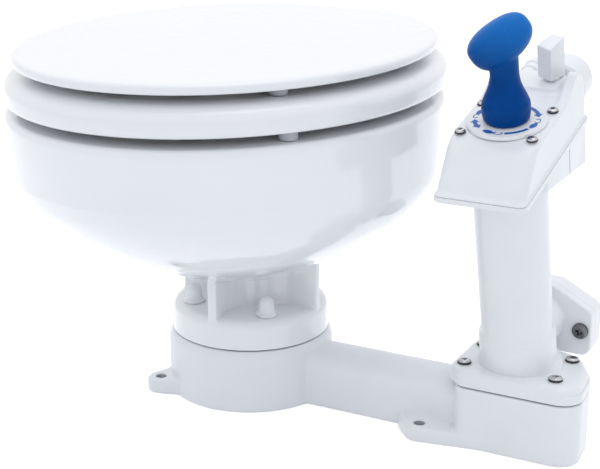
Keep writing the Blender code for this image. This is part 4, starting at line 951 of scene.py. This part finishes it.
def bowl():
    """Bowl with its hollow rim, and the foot with four webs melted on under it."""
    foot = spun([(0.0, foot_bottom), (drum_seat_radius, foot_bottom)]
                + [(drum_seat_radius - inset, z) for z, inset in edge_levels(foot_top, foot_edge)]
                + [(0.0, foot_top)], steps=fine_turns)
    web_top = blend(core_top, wall_bottom, web_top_share)
    for quarter in range(4):
        join(foot, prism(web_outline(), foot_bottom + foot_edge, web_top, turned(90 * quarter)))
    join(foot, rod(core_radius, foot_bottom + foot_edge, core_top, steps=round_turns))
    cast(foot, foot_voxel, foot_soft_passes)
    shell = lofted(bowl_rings())
    join(shell, foot, washer(drum_seat_radius - seam_step_width, drum_seat_radius,
                             foot_bottom - seam_step_depth, foot_bottom + foot_edge))
    cut(shell, rod(outlet_radius, foot_bottom - overrun, sump_z + overrun, steps=round_turns))
    finished("bowl_body", shell, "white_ceramic", "bowl", sharp_degrees=42)


def corners(across, along, x=0.0, y=0.0):
    return [(x + sx * across, y + sy * along) for sx in (-1, 1) for sy in (-1, 1)]


def bolt_caps():
    crown = cap_dome_radius * cap_crown_share
    bell = [(0.0, cap_height)] + arc(0.0, cap_height - crown, crown, cap_crown_degrees, 0)
    bell += [(cap_flange_radius * out, cap_flange_height * up) for out, up in cap_skirt_shares]
    bell += [(0.0, 0.0)]
    for number, (x, y) in enumerate(corners(foot_bolt_reach, foot_bolt_reach), 1):
        finished(f"bolt_cover_{number}", spun(bell, at(x, y, foot_top + touch_gap), small_turns),
                 "white_plastic", f"bolt_cap_{number}")


def barbed(radius, start, end):
    """Profile of a hose tail with barbs, from its shoulder to its end."""
    count = max(1, int((end - start) / barb_pitch) - 1)
    points = [(radius - barb_height, start)]
    for i in range(count):
        foot = end - (count - i) * barb_pitch
        points += [(radius - barb_height, foot), (radius - barb_tip_drop, foot + barb_tip_run),
                   (radius, foot + barb_crest_run)]
    return points + [(radius - barb_height, end)]


def fitting(name, node, bore, edge, spigot, nut, tail, place):
    """Spigot, nut with an eased end and barbed hose tail, turned in one piece."""
    end = nut[1] + tail[1]
    profile = [(bore, -spigot[1]), (spigot[0], -spigot[1]), (spigot[0], 0.0), (nut[0], 0.0),
               (nut[0], nut[1] - edge), (nut[0] - edge, nut[1])]
    profile += barbed(tail[0], nut[1], end) + [(bore, end)]
    finished(name, spun(profile, place, small_turns, True), "white_plastic", node)


def inlet_spud():
    fitting("inlet_spud", "bowl_inlet_spud", *spud_parts,
            along_y(0.0, bowl_back_limit + touch_gap, rim_top - inlet_drop))


# Seat, lid and hinge

def hinged(board, way, tip):
    """Add a board's two lugs on the outer (1) or inner (-1) sides of the posts, and bore them."""
    start = hinge_spacing + way * (post_width / 2 + lug_clearance)
    for side in (-1, 1):
        span = sorted((side * start, side * (start + way * lug_width)))
        join(board, hull_across([(hinge_y, hinge_z, knuckle_radius), tip], *span))
    cut(board, *[rod(pin_hole_radius, -hinge_spacing / 2, hinge_spacing / 2,
                     along_x(side * hinge_spacing, hinge_y, hinge_z)) for side in (-1, 1)])


def seat():
    def between(first, second, share):
        return [tuple(blend(a, b, share) for a, b in zip(p, q)) for p, q in zip(first, second)]

    t = seat_top - seat_bottom
    crown = between(oval(seat_plan, seat_top), oval(seat_hole_plan, seat_top), 0.5)
    rings = [oval(seat_plan, seat_bottom + t * rise, -t * max(inset, 0.0))
             for rise, inset in smooth_rows(seat_profile_shares)]
    rings += [between(rings[-1], crown, share) for share in seat_crown_shares] + [crown]
    rings += [oval(seat_hole_plan, seat_bottom + t * rise, t * inset)
              for rise, inset in smooth_rows(seat_inside_shares)]
    ring = lofted(rings, closed=True)
    hinged(ring, 1, (hinge_y - seat_lug_reach, hinge_z, knuckle_radius * seat_lug_tip_share))
    finished("seat_ring", ring, "white_enamel", "seat", "seat", sharp_degrees=40)


def lid():
    t = lid_top - lid_bottom

    def lid_ring(z, inset, scale=1.0):
        return [(x * scale, bowl_centre_y + (y - bowl_centre_y) * scale, z)
                for x, y, _ in oval(lid_plan, z, -t * inset)]

    rings = [lid_ring(lid_bottom + lid_dish * math.cos(math.pi / 2 * scale), lid_under_inset, scale)
             for scale in lid_under_scales]
    rings += [lid_ring(lid_bottom + t * rise, inset) for rise, inset in smooth_rows(lid_edge_shares)]
    rings += [lid_ring(lid_top, lid_top_inset, scale) for scale in lid_top_scales]
    board = lofted(rings)
    hinged(board, -1, (hinge_y - lid_lug_reach, (lid_bottom + lid_top) / 2, lid_lug_tip_radius))
    finished("lid_board", board, "white_enamel", "lid", "lid", sharp_degrees=40)


def bumpers():
    """Rubber buttons, each on the board that carries it."""
    for board in ("seat", "lid"):
        for number in range(1, 5):
            low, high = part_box(f"{board}_bumper_{number}")
            centre = (low + high) / 2
            radius, height = (high.x - low.x) / 2, high.z - low.z
            edge = radius * button_edge_share
            profile = [(0.0, 0.0)] + arc(radius - edge, edge, edge, -90, 0, edge_steps)
            button = spun(profile + [(radius, height), (0.0, height)],
                          at(centre.x, centre.y, low.z), small_turns)
            finished(f"{board}_button_{number}", button, "grey_rubber",
                     f"{board}_bumper_{number}", board)


def hinges():
    """Posts with a foot pad, bored for the pin and for the bolt's head."""
    deck = rim_top + touch_gap
    pad_top = deck + pad_thickness
    heel = deck + pad_heel_radius
    reach = post_width / 2
    for label, side in (("left", -1), ("right", 1)):
        x = side * hinge_spacing
        post = prism(rounded_box(x - reach, x + reach, pad_front_y,
                                 hinge_y - pad_heel_setback + pad_heel_radius, pad_heel_radius),
                     deck, pad_top)
        join(post, hull_across([(hinge_y, hinge_z, knuckle_radius),
                                (hinge_y - pad_heel_setback, heel, pad_heel_radius),
                                (hinge_y + pad_heel_setback / 2, heel, pad_heel_radius)],
                               x - reach + lug_clearance / 4, x + reach - lug_clearance / 4))
        cut(post, rod(pin_hole_radius, -post_width, post_width, along_x(x, hinge_y, hinge_z)),
            rod(hinge_bolt_head_radius + touch_gap, pad_top - hinge_bolt_head_height,
                pad_top + overrun, at(x, hinge_bolt_y)))
        finished(f"hinge_post_{label}_cast", post, "white_plastic", f"hinge_post_{label}")
        give("stainless", f"hinge_pin_{label}", f"hinge_bolt_{label}")


# Pump body

def flange(levels, setback=0.0, grow=0.0, steps=round_turns):
    """A plate with the plan of the pump's flange."""
    lobes = [(pump_x - pump_screw_x, pump_y + side * pump_screw_y, pump_lobe_radius + grow)
             for side in (-1, 1)]
    return hull_plate(lobes + block_circles(grow, setback), levels, steps)


def head_outline(inset=0.0):
    return rounded_box(-head_half_width + inset, head_half_width - inset,
                       -head_front + inset, head_rear - inset, head_corner - inset)


def barrel():
    """Tilted barrel with its flared foot and collar."""
    flare = flare_height / 2
    profile = [(0.0, -barrel_root), (collar_radius + flare, -barrel_root)]
    profile += [(collar_radius + flare * (1 - math.sin(t)), flare_height * (1 - math.cos(t)))
                for t in quarter_turn(fine_edge_steps, 1)]
    profile += [(collar_radius, collar_height)]
    profile += [(blend(collar_radius, barrel_radius, (1 - math.cos(math.pi * share)) / 2),
                 collar_height + collar_blend * share) for share in collar_blend_shares]
    return spun(profile + [(barrel_radius, barrel_length), (0.0, barrel_length)], pump_frame)


def lower_casing():
    """Block under the head's flange, flat and level underneath behind the barrel."""
    top = head_flange_height - head_flange_thickness / 2
    rise = (casing_underside_z - pump_flange_top) / math.cos(tilt)
    slope = math.tan(tilt)
    x = head_half_width - casing_inset
    rear = head_rear - casing_rear_inset
    front = -casing_front
    floor = rise - slope * rear
    side_view = [(front, top), (front, rise - slope * front), (rear, floor), (rear, top)]
    block = extruded([(-x, y, z) for y, z in side_view], (2 * x, 0.0, 0.0))
    modify(block, 'BEVEL', width=casing_edge, segments=3, limit_method='ANGLE',
           angle_limit=sharp_angle)
    settle(block)
    for side in (-1, 1):
        low, high = sorted((side * x, side * (x - casing_groove_depth)))
        cut(block, prism(square_box(low - overrun * (side < 0), high + overrun * (side > 0),
                                    casing_groove_y, casing_groove_y + casing_groove_width),
                         floor - overrun,
                         head_flange_height - head_flange_thickness - casing_groove_stop))
    block.data.transform(pump_frame)
    return block


def casing_hopper():
    """Blend from the barrel out to the front of the head's flange."""
    top = head_flange_height - head_flange_thickness + touch_gap
    points = []
    for share, drop in hopper_shares:
        for x, y in head_outline(head_flange_edge):
            around = math.atan2(y, x)
            inner_x = barrel_radius * hopper_fit * math.cos(around)
            inner_y = barrel_radius * hopper_fit * math.sin(around)
            outer_y = (blend(max(y, -head_front), inner_y, hopper_lean) if y < 0
                       else min(y, casing_front))
            points.append((blend(inner_x, blend(x, inner_x, hopper_lean), share),
                           blend(inner_y, outer_y, share), top - casing_blend_depth * drop))
    return hull(points, pump_frame)


def plate_ring(y, inset):
    """Outline of the gabled outlet plate with round corners, drawn in by an inset."""
    half, corner = outlet_plate_half_width, outlet_plate_corner
    right = (arc(half - corner, outlet_plate_bottom + corner, corner, -90, 0)
             + arc(half - corner, outlet_plate_shoulder - corner, corner, 0, gable_degrees)
             + arc(half / 5, outlet_plate_top - corner, corner, gable_degrees, 90, edge_steps))
    middle_z = (outlet_plate_bottom + outlet_plate_top) / 2
    shrink_x = 1 - inset / half
    shrink_z = 1 - 2 * inset / (outlet_plate_top - outlet_plate_bottom)
    return [(pump_x + x * shrink_x, y, middle_z + (z - middle_z) * shrink_z)
            for x, z in right + [(-x, z) for x, z in reversed(right)]]


def pump_body():
    """Flange, tilted barrel, rear branch and the lower half of the head."""
    step = pump_flange_bottom + flange_step_height
    body = flange([(pump_flange_bottom, 0.0)] + edge_levels(step, flange_step_setback / 2))
    join(body, flange([(pump_flange_bottom, 0.0)] + edge_levels(pump_flange_top, pump_flange_edge),
                      flange_step_setback))
    tube = barrel()
    cut(tube, hull_plate(block_circles(block_corner), [
        (0.0, 0.0), ((pump_flange_bottom + pump_flange_top) / 2, 0.0)]))
    skirt = flange([(pump_flange_bottom - seam_step_depth, 0.0), (step - flange_step_setback, 0.0)])
    cut(skirt, flange([(pump_flange_bottom - 2 * seam_step_depth, 0.0), (step, 0.0)],
                      grow=-seam_step_width))
    join(body, skirt)
    low = head_flange_height - head_flange_thickness
    rings = [level(head_outline(inset), low + head_flange_height - z)
             for z, inset in reversed(edge_levels(head_flange_height, head_flange_edge))]
    rings += [level(head_outline(inset), z)
              for z, inset in edge_levels(head_flange_height, parting_edge)]
    plate_back = outlet_plate_y + outlet_plate_thickness
    plate = lofted([plate_ring(outlet_plate_y, outlet_plate_edge),
                    plate_ring(outlet_plate_y + outlet_plate_edge, 0.0), plate_ring(plate_back, 0.0)])
    branch = along_y(pump_x, barrel_y, outlet_z)
    join(body, tube, lofted(rings, pump_frame), lower_casing(), casing_hopper(),
         rod(outlet_boss_radius, 0.0, outlet_plate_y + outlet_plate_thickness / 2 - barrel_y,
             branch, round_turns), plate)
    cut(body, rod(barrel_bore_radius, -(pump_flange_top - pump_flange_bottom) * 2,
                  head_flange_height + overrun, pump_frame, round_turns),
        rod(outlet_bore_radius, 0.0, plate_back + overrun - barrel_y, branch, round_turns))
    finished("pump_body", body, "white_plastic", "pump_cylinder", sharp_degrees=30)
    seam = flange([(pump_gasket_low, 0.0), (pump_gasket_high, 0.0)],
                  grow=-seam_step_width - touch_gap, steps=small_turns)
    cut(seam, rod(barrel_bore_radius, pump_gasket_low - overrun, pump_gasket_high + overrun,
                  at(pump_x, valve_y), round_turns))
    finished("pump_flange_gasket", seam, "black_rubber", "base_valve_gasket")


# Pump head

def cover_rings(inset, bottom, top, front_inset=0.0):
    """Rings up the cover, with a sloping front and an eased top edge."""
    rings = []
    for rise, lean in smooth_rows(cover_front_shares):
        z = blend(bottom, top, rise)
        depth = max(0.0, z - (top - cover_edge))
        edge = cover_edge - math.sqrt(max(0.0, cover_edge ** 2 - depth ** 2))
        half = head_half_width - inset - edge
        front = -head_front + inset + cover_front_slope * lean + front_inset
        rings.append(level(rounded_box(-half, half, front, head_rear - inset - edge, cover_corner,
                                       blend(cover_corner, cover_front_corner, rise)), z))
    return rings


def cover_lip():
    """Rings of the lip round the cover's foot, and the small fillet above it."""
    low = head_flange_height + cover_skirt_gap
    high = low + cover_lip_height
    rows = [(low, cover_lip_inset + cover_lip_edge), (low + cover_lip_edge, cover_lip_inset),
            (high - cover_lip_edge, cover_lip_inset), (high, cover_lip_inset + cover_lip_edge)]
    rows += [(high + cover_foot_radius * (1 - math.cos(t)),
              cover_inset - cover_foot_radius * (1 - math.sin(t)) + cover_foot_lap)
             for t in quarter_turn(3, 1)]
    return [level(head_outline(inset), z) for z, inset in rows]


def cover_shoulder(side, rear):
    """Ridge along one side of the cover, rising to the rear."""
    base = cover_top - cover_edge
    outer = head_half_width - cover_inset - cover_edge * shoulder_side_ease
    low, high = sorted((side * outer, side * (outer - shoulder_width)))
    rows = [(blend(shoulder_start_y, shoulder_peak_y, run), rise)
            for run, rise in smooth_rows(shoulder_shares)]
    rows += [(blend(shoulder_peak_y, rear, run), rise) for run, rise in shoulder_rear_shares]
    side_view = [(y, cover_top + shoulder_height * rise) for y, rise in rows]
    side_view = [(shoulder_start_y, base)] + side_view + [(rear, base)]
    return extruded([(low, y, z) for y, z in side_view], (high - low, 0.0, 0.0))


def valve_cover():
    """Upper half of the head: lip, sloping front, crisp sides, rear shoulders and a platform."""
    cover = lofted(cover_rings(cover_inset, head_flange_height + cover_skirt_gap, cover_top))
    rear = head_rear - cover_inset - cover_edge * shoulder_rear_ease
    join(cover, lofted(cover_lip()), cover_shoulder(-1, rear), cover_shoulder(1, rear))
    rows = [(cover_top - cover_edge, platform_flare)]
    rows += [(cover_top + platform_height * rise, platform_flare * share)
             for rise, share in platform_shares]
    join(cover, lofted([
        level(rounded_box(-platform_half_width - flare, platform_half_width + flare,
                          platform_front_y - flare * platform_front_flare, rear,
                          platform_height + flare), z) for z, flare in rows]))
    cut(cover, lofted(cover_rings(cover_inset + cover_wall, head_flange_height - overrun,
                                  cover_top - cover_wall, cover_wall)))
    cast(cover, cover_voxel, cover_soft_passes)
    cut(cover, rod(cover_hole_radius, cover_bottom, cover_top + overrun, steps=round_turns))
    finished("head_cover", cover, "white_plastic", "valve_cover", place=pump_frame, sharp_degrees=50)
    low, high = head_flange_height + touch_gap, cover_bottom - touch_gap
    gasket = prism(head_outline(head_gasket_inset), low, high)
    cut(gasket, rod(barrel_bore_radius, low - overrun, high + overrun, steps=round_turns))
    finished("head_gasket", gasket, "black_rubber", "valve_gasket", place=pump_frame)


# Dial plate and arrows

def dial():
    bore = rod_radius + dial_bore_gap
    profile = [(bore, dial_bottom), (dial_radius, dial_bottom)]
    profile += [(dial_radius - inset, z) for z, inset in edge_levels(dial_top, dial_edge, 3)]
    finished("dial_disc", spun(profile + [(bore, dial_top)], pump_frame, fine_turns, True),
             "dial_plastic", "dial_plate")


def arc_strip(start, end, width_share, heads):
    """Outline of a curved strip round the dial, with an arrowhead at its start (-1) or end (1)."""
    half_width = arrow_half_width * width_share
    sign = 1 if end > start else -1
    inner_start = start + sign * arrow_head_degrees * (-1 in heads)
    inner_end = end - sign * arrow_head_degrees * (1 in heads)

    def head(base, tip, way):
        rows = ((way * arrow_head_half_width, base), (0.0, tip), (-way * arrow_head_half_width, base))
        return [arc(0.0, 0.0, arrow_ring_radius + out, turn, turn, 1)[0] for out, turn in rows]

    outline = arc(0.0, 0.0, arrow_ring_radius + half_width, inner_start, inner_end, arrow_steps)
    if 1 in heads:
        outline += head(inner_end, end, 1)
    outline += arc(0.0, 0.0, arrow_ring_radius - half_width, inner_end, inner_start, arrow_steps)
    if -1 in heads:
        outline += head(inner_start, start, -1)
    return outline


def on_ring(outline, degrees):
    """Move an outline out to the arrows' ring."""
    place = turned(degrees) @ at(arrow_ring_radius, 0.0)
    return [tuple(place @ Vector((x, y, 0.0)))[:2] for x, y in outline]


def leaf():
    """Pointed drop lying along the ring."""
    outline = [(leaf_half_width * math.sin(math.pi * t) ** leaf_fullness, leaf_length * (t - 0.5))
               for t in (i / leaf_steps for i in range(leaf_steps + 1))]
    return outline + [(-x, y) for x, y in reversed(outline[1:-1])]


def curl():
    """Small open loop beside a drop."""
    open_at = curl_opening_degrees
    return [(radius * curl_width_share * x, radius * y)
            for radius, start in ((curl_radius, -open_at), (curl_radius - curl_wire, open_at))
            for x, y in arc(0, 0, 1.0, start, -start, curl_steps)]


def dial_marks():
    """Printed arrows round the handle, as a skin on the dial."""
    outlines = [arc_strip(*strip) for strip in arrow_strips]
    outlines += [on_ring(leaf(), degrees) for degrees in leaf_degrees]
    outlines += [on_ring(curl(), degrees) for degrees in curl_degrees]
    bm = bmesh.new()
    for outline in outlines:
        raise_face(bm, level(outline, dial_top + arrow_thickness / 4), (0.0, 0.0, arrow_thickness))
    finished("dial_arrows", solid(bm, pump_frame), "blue_ink")


# Handle

def handle():
    """Grip that swells above its foot, with a slanted palm pad melted on top."""
    z = handle_bottom
    profile = [(0.0, z)]
    profile += [(handle_foot_radius - handle_foot_edge * inset, z + handle_foot_edge * rise)
                for inset, rise in handle_foot_shares]
    profile += [(radius, z + handle_grip_height * share) for radius, share in smooth_rows(grip_rows)]
    profile += [(blend(handle_neck_radius, grip_rows[-1][0], width),
                 z + blend(handle_grip_height, handle_neck_height, share))
                for width, share in smooth_rows(neck_shares, 4)[1:]]
    body = spun(profile + [(handle_neck_radius, z + handle_height), (0.0, z + handle_height)])
    pad = bmesh.new()
    bmesh.ops.create_uvsphere(pad, u_segments=round_turns, v_segments=knob_rows, radius=1.0)
    for vert in pad.verts:
        x, y, height = vert.co
        fullness = knob_top_share if height > 0 else knob_under_share - knob_taper_share * x
        vert.co = (math.copysign(abs(x) ** knob_end_share, x), y,
                   math.copysign(abs(height) ** knob_flat_share, height) * fullness)
    place = at(knob_shift, 0.0, z + knob_height) @ turned(-knob_tilt_degrees, 'Y')
    size = Matrix.Diagonal((knob_length, knob_breadth, knob_depth, 1.0))
    join(body, solid(pad, place @ size))
    cast(body, knob_voxel, knob_soft_passes)
    cut(body, rod(rod_radius + touch_gap, z - overrun, z + handle_socket_depth))
    finished("pull_handle", body, "blue_plastic", "handle", "handle", pump_frame, 50)


# Flush lever

def flush_lever():
    foot = platform_top + touch_gap
    bar = bmesh.new()
    bmesh.ops.create_cube(bar, size=1.0)
    for vert in bar.verts:
        x, y, up = (1 if c > 0 else -1 for c in vert.co)
        drop = lever_front_drop * (y < 0) + lever_corner_drop * (y < 0 and x > 0)
        rise = lever_foot_rise * (0.5 + 0.5 * (x < 0)) * (y < 0)
        vert.co = (x * lever_width / 2, y * lever_length / 2,
                   foot + (lever_height - drop if up > 0 else rise))
    bmesh.ops.bevel(bar, geom=list(bar.edges), offset=lever_edge, offset_type='OFFSET', segments=3,
                    profile=0.5, affect='EDGES', material=-1)
    lever = solid(bar)
    join(lever, rod(lever_hub_radius, foot, foot + lever_foot_rise * 2),
         rod(lever_shaft_radius, foot - lever_shaft_length, foot + lever_edge * 2))
    finished("flush_paddle", lever, "white_plastic", "flush_lever", "flush_lever",
             pump_frame @ at(*lever_place) @ turned(lever_turn_degrees))


# Hose fittings

def intake_elbow():
    """Round nut behind the head with a tail that points down."""
    start = head_rear - cover_inset + touch_gap
    chamfer = intake_nut_edge / 3
    profile = [(0.0, -fitting_spigot_length), (intake_spigot_radius, -fitting_spigot_length),
               (intake_spigot_radius, 0.0), (intake_nut_radius - chamfer, 0.0),
               (intake_nut_radius, chamfer)]
    profile += [(intake_nut_radius - inset, y)
                for y, inset in edge_levels(intake_nut_length, intake_nut_edge, fine_edge_steps)]
    nut = spun(profile + [(0.0, intake_nut_length)], along_y(intake_x, start, intake_height),
               fine_turns)
    tail_y = start + intake_nut_length - intake_tail_setback
    down = at(intake_x, tail_y, intake_height) @ turned(180, 'X')
    tail = [(0.0, 0.0), (intake_tail_radius - barb_height, 0.0)]
    tail += barbed(intake_tail_radius, intake_nut_radius / 2, intake_tail_drop)
    join(nut, spun(tail + [(0.0, intake_tail_drop)], down, small_turns))
    cut(nut, rod(intake_tail_bore, 0.0, intake_tail_drop + overrun, down))
    finished("intake_fitting", nut, "white_plastic", "intake_elbow", place=pump_frame)


def outlet_tail():
    fitting("rinse_tail", "outlet_tail", *outlet_parts,
            pump_frame @ along_y(outlet_x, head_rear - cover_inset + touch_gap, outlet_height))


def discharge_elbow():
    """Housing behind the outlet plate, knee and barbed tail, melted into one moulding."""
    start = outlet_plate_y + outlet_plate_thickness + touch_gap
    elbow = lofted([plate_ring(start, 0.0)] + [
        plate_ring(y, inset)
        for y, inset in edge_levels(start + housing_depth, housing_edge, fine_edge_steps)])
    join(elbow, rod(knee_radius, 0.0, knee_y - start - housing_edge / 4,
                    along_y(pump_x, start + housing_edge / 4, outlet_z), round_turns))
    knee = bmesh.new()
    bmesh.ops.create_uvsphere(knee, u_segments=round_turns, v_segments=small_turns,
                              radius=knee_radius * knee_swell)
    tail = [(0.0, 0.0), (knee_radius - barb_height, 0.0)]
    tail += barbed(knee_radius, knee_radius, discharge_tail_length)
    away = along_x(pump_x, knee_y, outlet_z, -1)
    join(elbow, solid(knee, along_x(pump_x, knee_y, outlet_z)),
         spun(tail + [(0.0, discharge_tail_length)], away))
    cut(elbow, rod(outlet_bore_radius, -outlet_bore_radius * elbow_bore_start,
                   discharge_tail_length + overrun, away, round_turns),
        rod(outlet_bore_radius * elbow_bore_share, -overrun, knee_y - start,
            along_y(pump_x, start, outlet_z), round_turns))
    cast(elbow, elbow_voxel, elbow_soft_passes)
    finished("discharge_fitting", elbow, "white_plastic", "discharge_elbow", sharp_degrees=50)


# Screws

def cross_head(radius, height, length):
    """Pan-head screw with a cross recess: the head stands on z = 0 and the shank runs down."""
    dome = [(radius * math.cos(t) ** dome_fullness, height * blend(dome_side_share, 1.0, math.sin(t)))
            for t in quarter_turn(dome_steps)[:-1]]
    shape = spun([(0.0, -length), (screw_shank_radius, -length), (screw_shank_radius, 0.0),
                  (radius, 0.0)] + dome + [(0.0, height)], steps=small_turns)
    arm, half = radius * recess_arm_share, radius * recess_width_share
    for degrees in (0, 90):
        slot = raise_face(bmesh.new(), level(square_box(-arm, arm, -half, half),
                                             height - height * recess_depth_share),
                          (0.0, 0.0, height * recess_depth_share + overrun))
        bmesh.ops.scale(slot, verts=[v for v in slot.verts if v.co.z < height], vec=recess_taper)
        cut(shape, solid(slot, turned(degrees)))
    return shape


def screws():
    """Three sizes of cross-head screw, each copied to its places."""
    places = {
        "base_screw": [at(x, y, pump_flange_top + touch_gap)
                       for x, y in corners(pump_screw_x, pump_screw_y, pump_x, pump_y)],
        "head_screw": [pump_frame @ at(sx * head_screw_x, sy * head_screw_y, cover_top + touch_gap)
                       for sy in (-1, 1) for sx in (-1, 1)],
        "elbow_screw": [at(pump_x + side * elbow_screw_x, outlet_plate_y - touch_gap, elbow_screw_z)
                        @ turned(90, 'X') for side in (-1, 1)]}
    for kind, (radius, height, length, metal) in screw_kinds.items():
        pattern = cross_head(radius, height, length)
        for number, place in enumerate(places[kind], 1):
            screw = linked(kind, pattern.data.copy())
            finished(f"{kind}_{number}_cross", screw, metal, f"{kind}_{number}",
                     place=place @ turned(screw_turn_degrees * number), sharp_degrees=30)
            flat = place.inverted()
            # The lower rim of each head gets painted shade, a near-black steel
            paint_shade_on_faces(screw, "painted_rim_shade", lambda centre: (
                0.0 < (flat @ centre).z < height * rim_shade_height_share
                and (flat @ centre).xy.length > radius * rim_shade_share))
        bpy.data.objects.remove(pattern, do_unlink=True)


# Floor, light and camera

def camera():
    """The photograph's view, from the front and the pump's side, a little above."""
    data = bpy.data.cameras.new("camera")
    data.lens = focal_length
    data.sensor_width = sensor_width
    data.clip_start = near_limit
    made = linked("camera", data)
    made.matrix_world = (turned(camera_azimuth) @ turned(90 - camera_elevation, 'X')
                         @ at(camera_across, camera_up, camera_back))
    bpy.context.scene.camera = made


def seen_directly(tree):
    """1 where a camera, mirror or glass ray arrives, else 0."""
    path = tree.nodes.new("ShaderNodeLightPath").outputs
    total = path["Is Camera Ray"]
    for name in ("Is Glossy Ray", "Is Transmission Ray"):
        total = add_node(tree, "Math", {0: total, 1: path[name]}, 0, operation='MAXIMUM')
    return total


def studio():
    """White floor that keeps the shadow, white surroundings and soft lamps."""
    bm = bmesh.new()
    bmesh.ops.create_grid(bm, x_segments=1, y_segments=1, size=floor_half_size)
    floor = solid(bm)
    floor.name = "floor"
    material, tree, shader = node_tree("floor_paper")
    lift = add_node(tree, "Math", {0: seen_directly(tree), 1: floor_lift}, 0, operation='MULTIPLY')
    feed(tree, shader, {"Base Color": floor_colour, "Roughness": floor_roughness,
                        "Specular IOR Level": floor_specular, "Emission Color": white,
                        "Emission Strength": lift})
    floor.data.materials.append(material)

    world = bpy.data.worlds.new("studio")
    bpy.context.scene.world = world
    world.use_nodes = True
    tree = world.node_tree
    seen = seen_directly(tree)
    dome = ranged(tree, height_in(tree, "Generated"), sky_low, sky_high, 0.0, sky_rise, 'SMOOTHSTEP')
    feed(tree, tree.nodes["Background"], {"Color": mixed(tree, sky_colour, white, seen),
                                          "Strength": ranged(tree, seen, dome, 1.0, 0.0, 1.0)})
    for name, place, size, power in lamps:
        data = bpy.data.lights.new(name, 'AREA')
        data.shape = 'RECTANGLE'
        data.size, data.size_y = size
        data.energy = power
        lamp = linked(name, data)
        lamp.location = place
        lamp.rotation_euler = (lamp_aim - Vector(place)).to_track_quat('-Z', 'Y').to_euler()
    bpy.context.scene.view_settings.view_transform = 'Standard'


for make in (camera, base_casting, bowl_gasket, bowl, bolt_caps, inlet_spud, seat, lid, bumpers,
             hinges, pump_body, valve_cover, dial, dial_marks, handle, flush_lever, intake_elbow,
             outlet_tail, discharge_elbow, screws, studio):
    make()

# Pieces inside the pump and the bolts keep their solids and get their finishes.
give("black_rubber", "piston_o_ring", "rod_seal", "flap_valve", "joker_valve")
give("white_plastic", "piston", "valve_cam")
give("stainless", "piston_rod", "bowl_bolt_1", "bowl_bolt_2", "bowl_bolt_3", "bowl_bolt_4")
give("brass", "flap_weight")
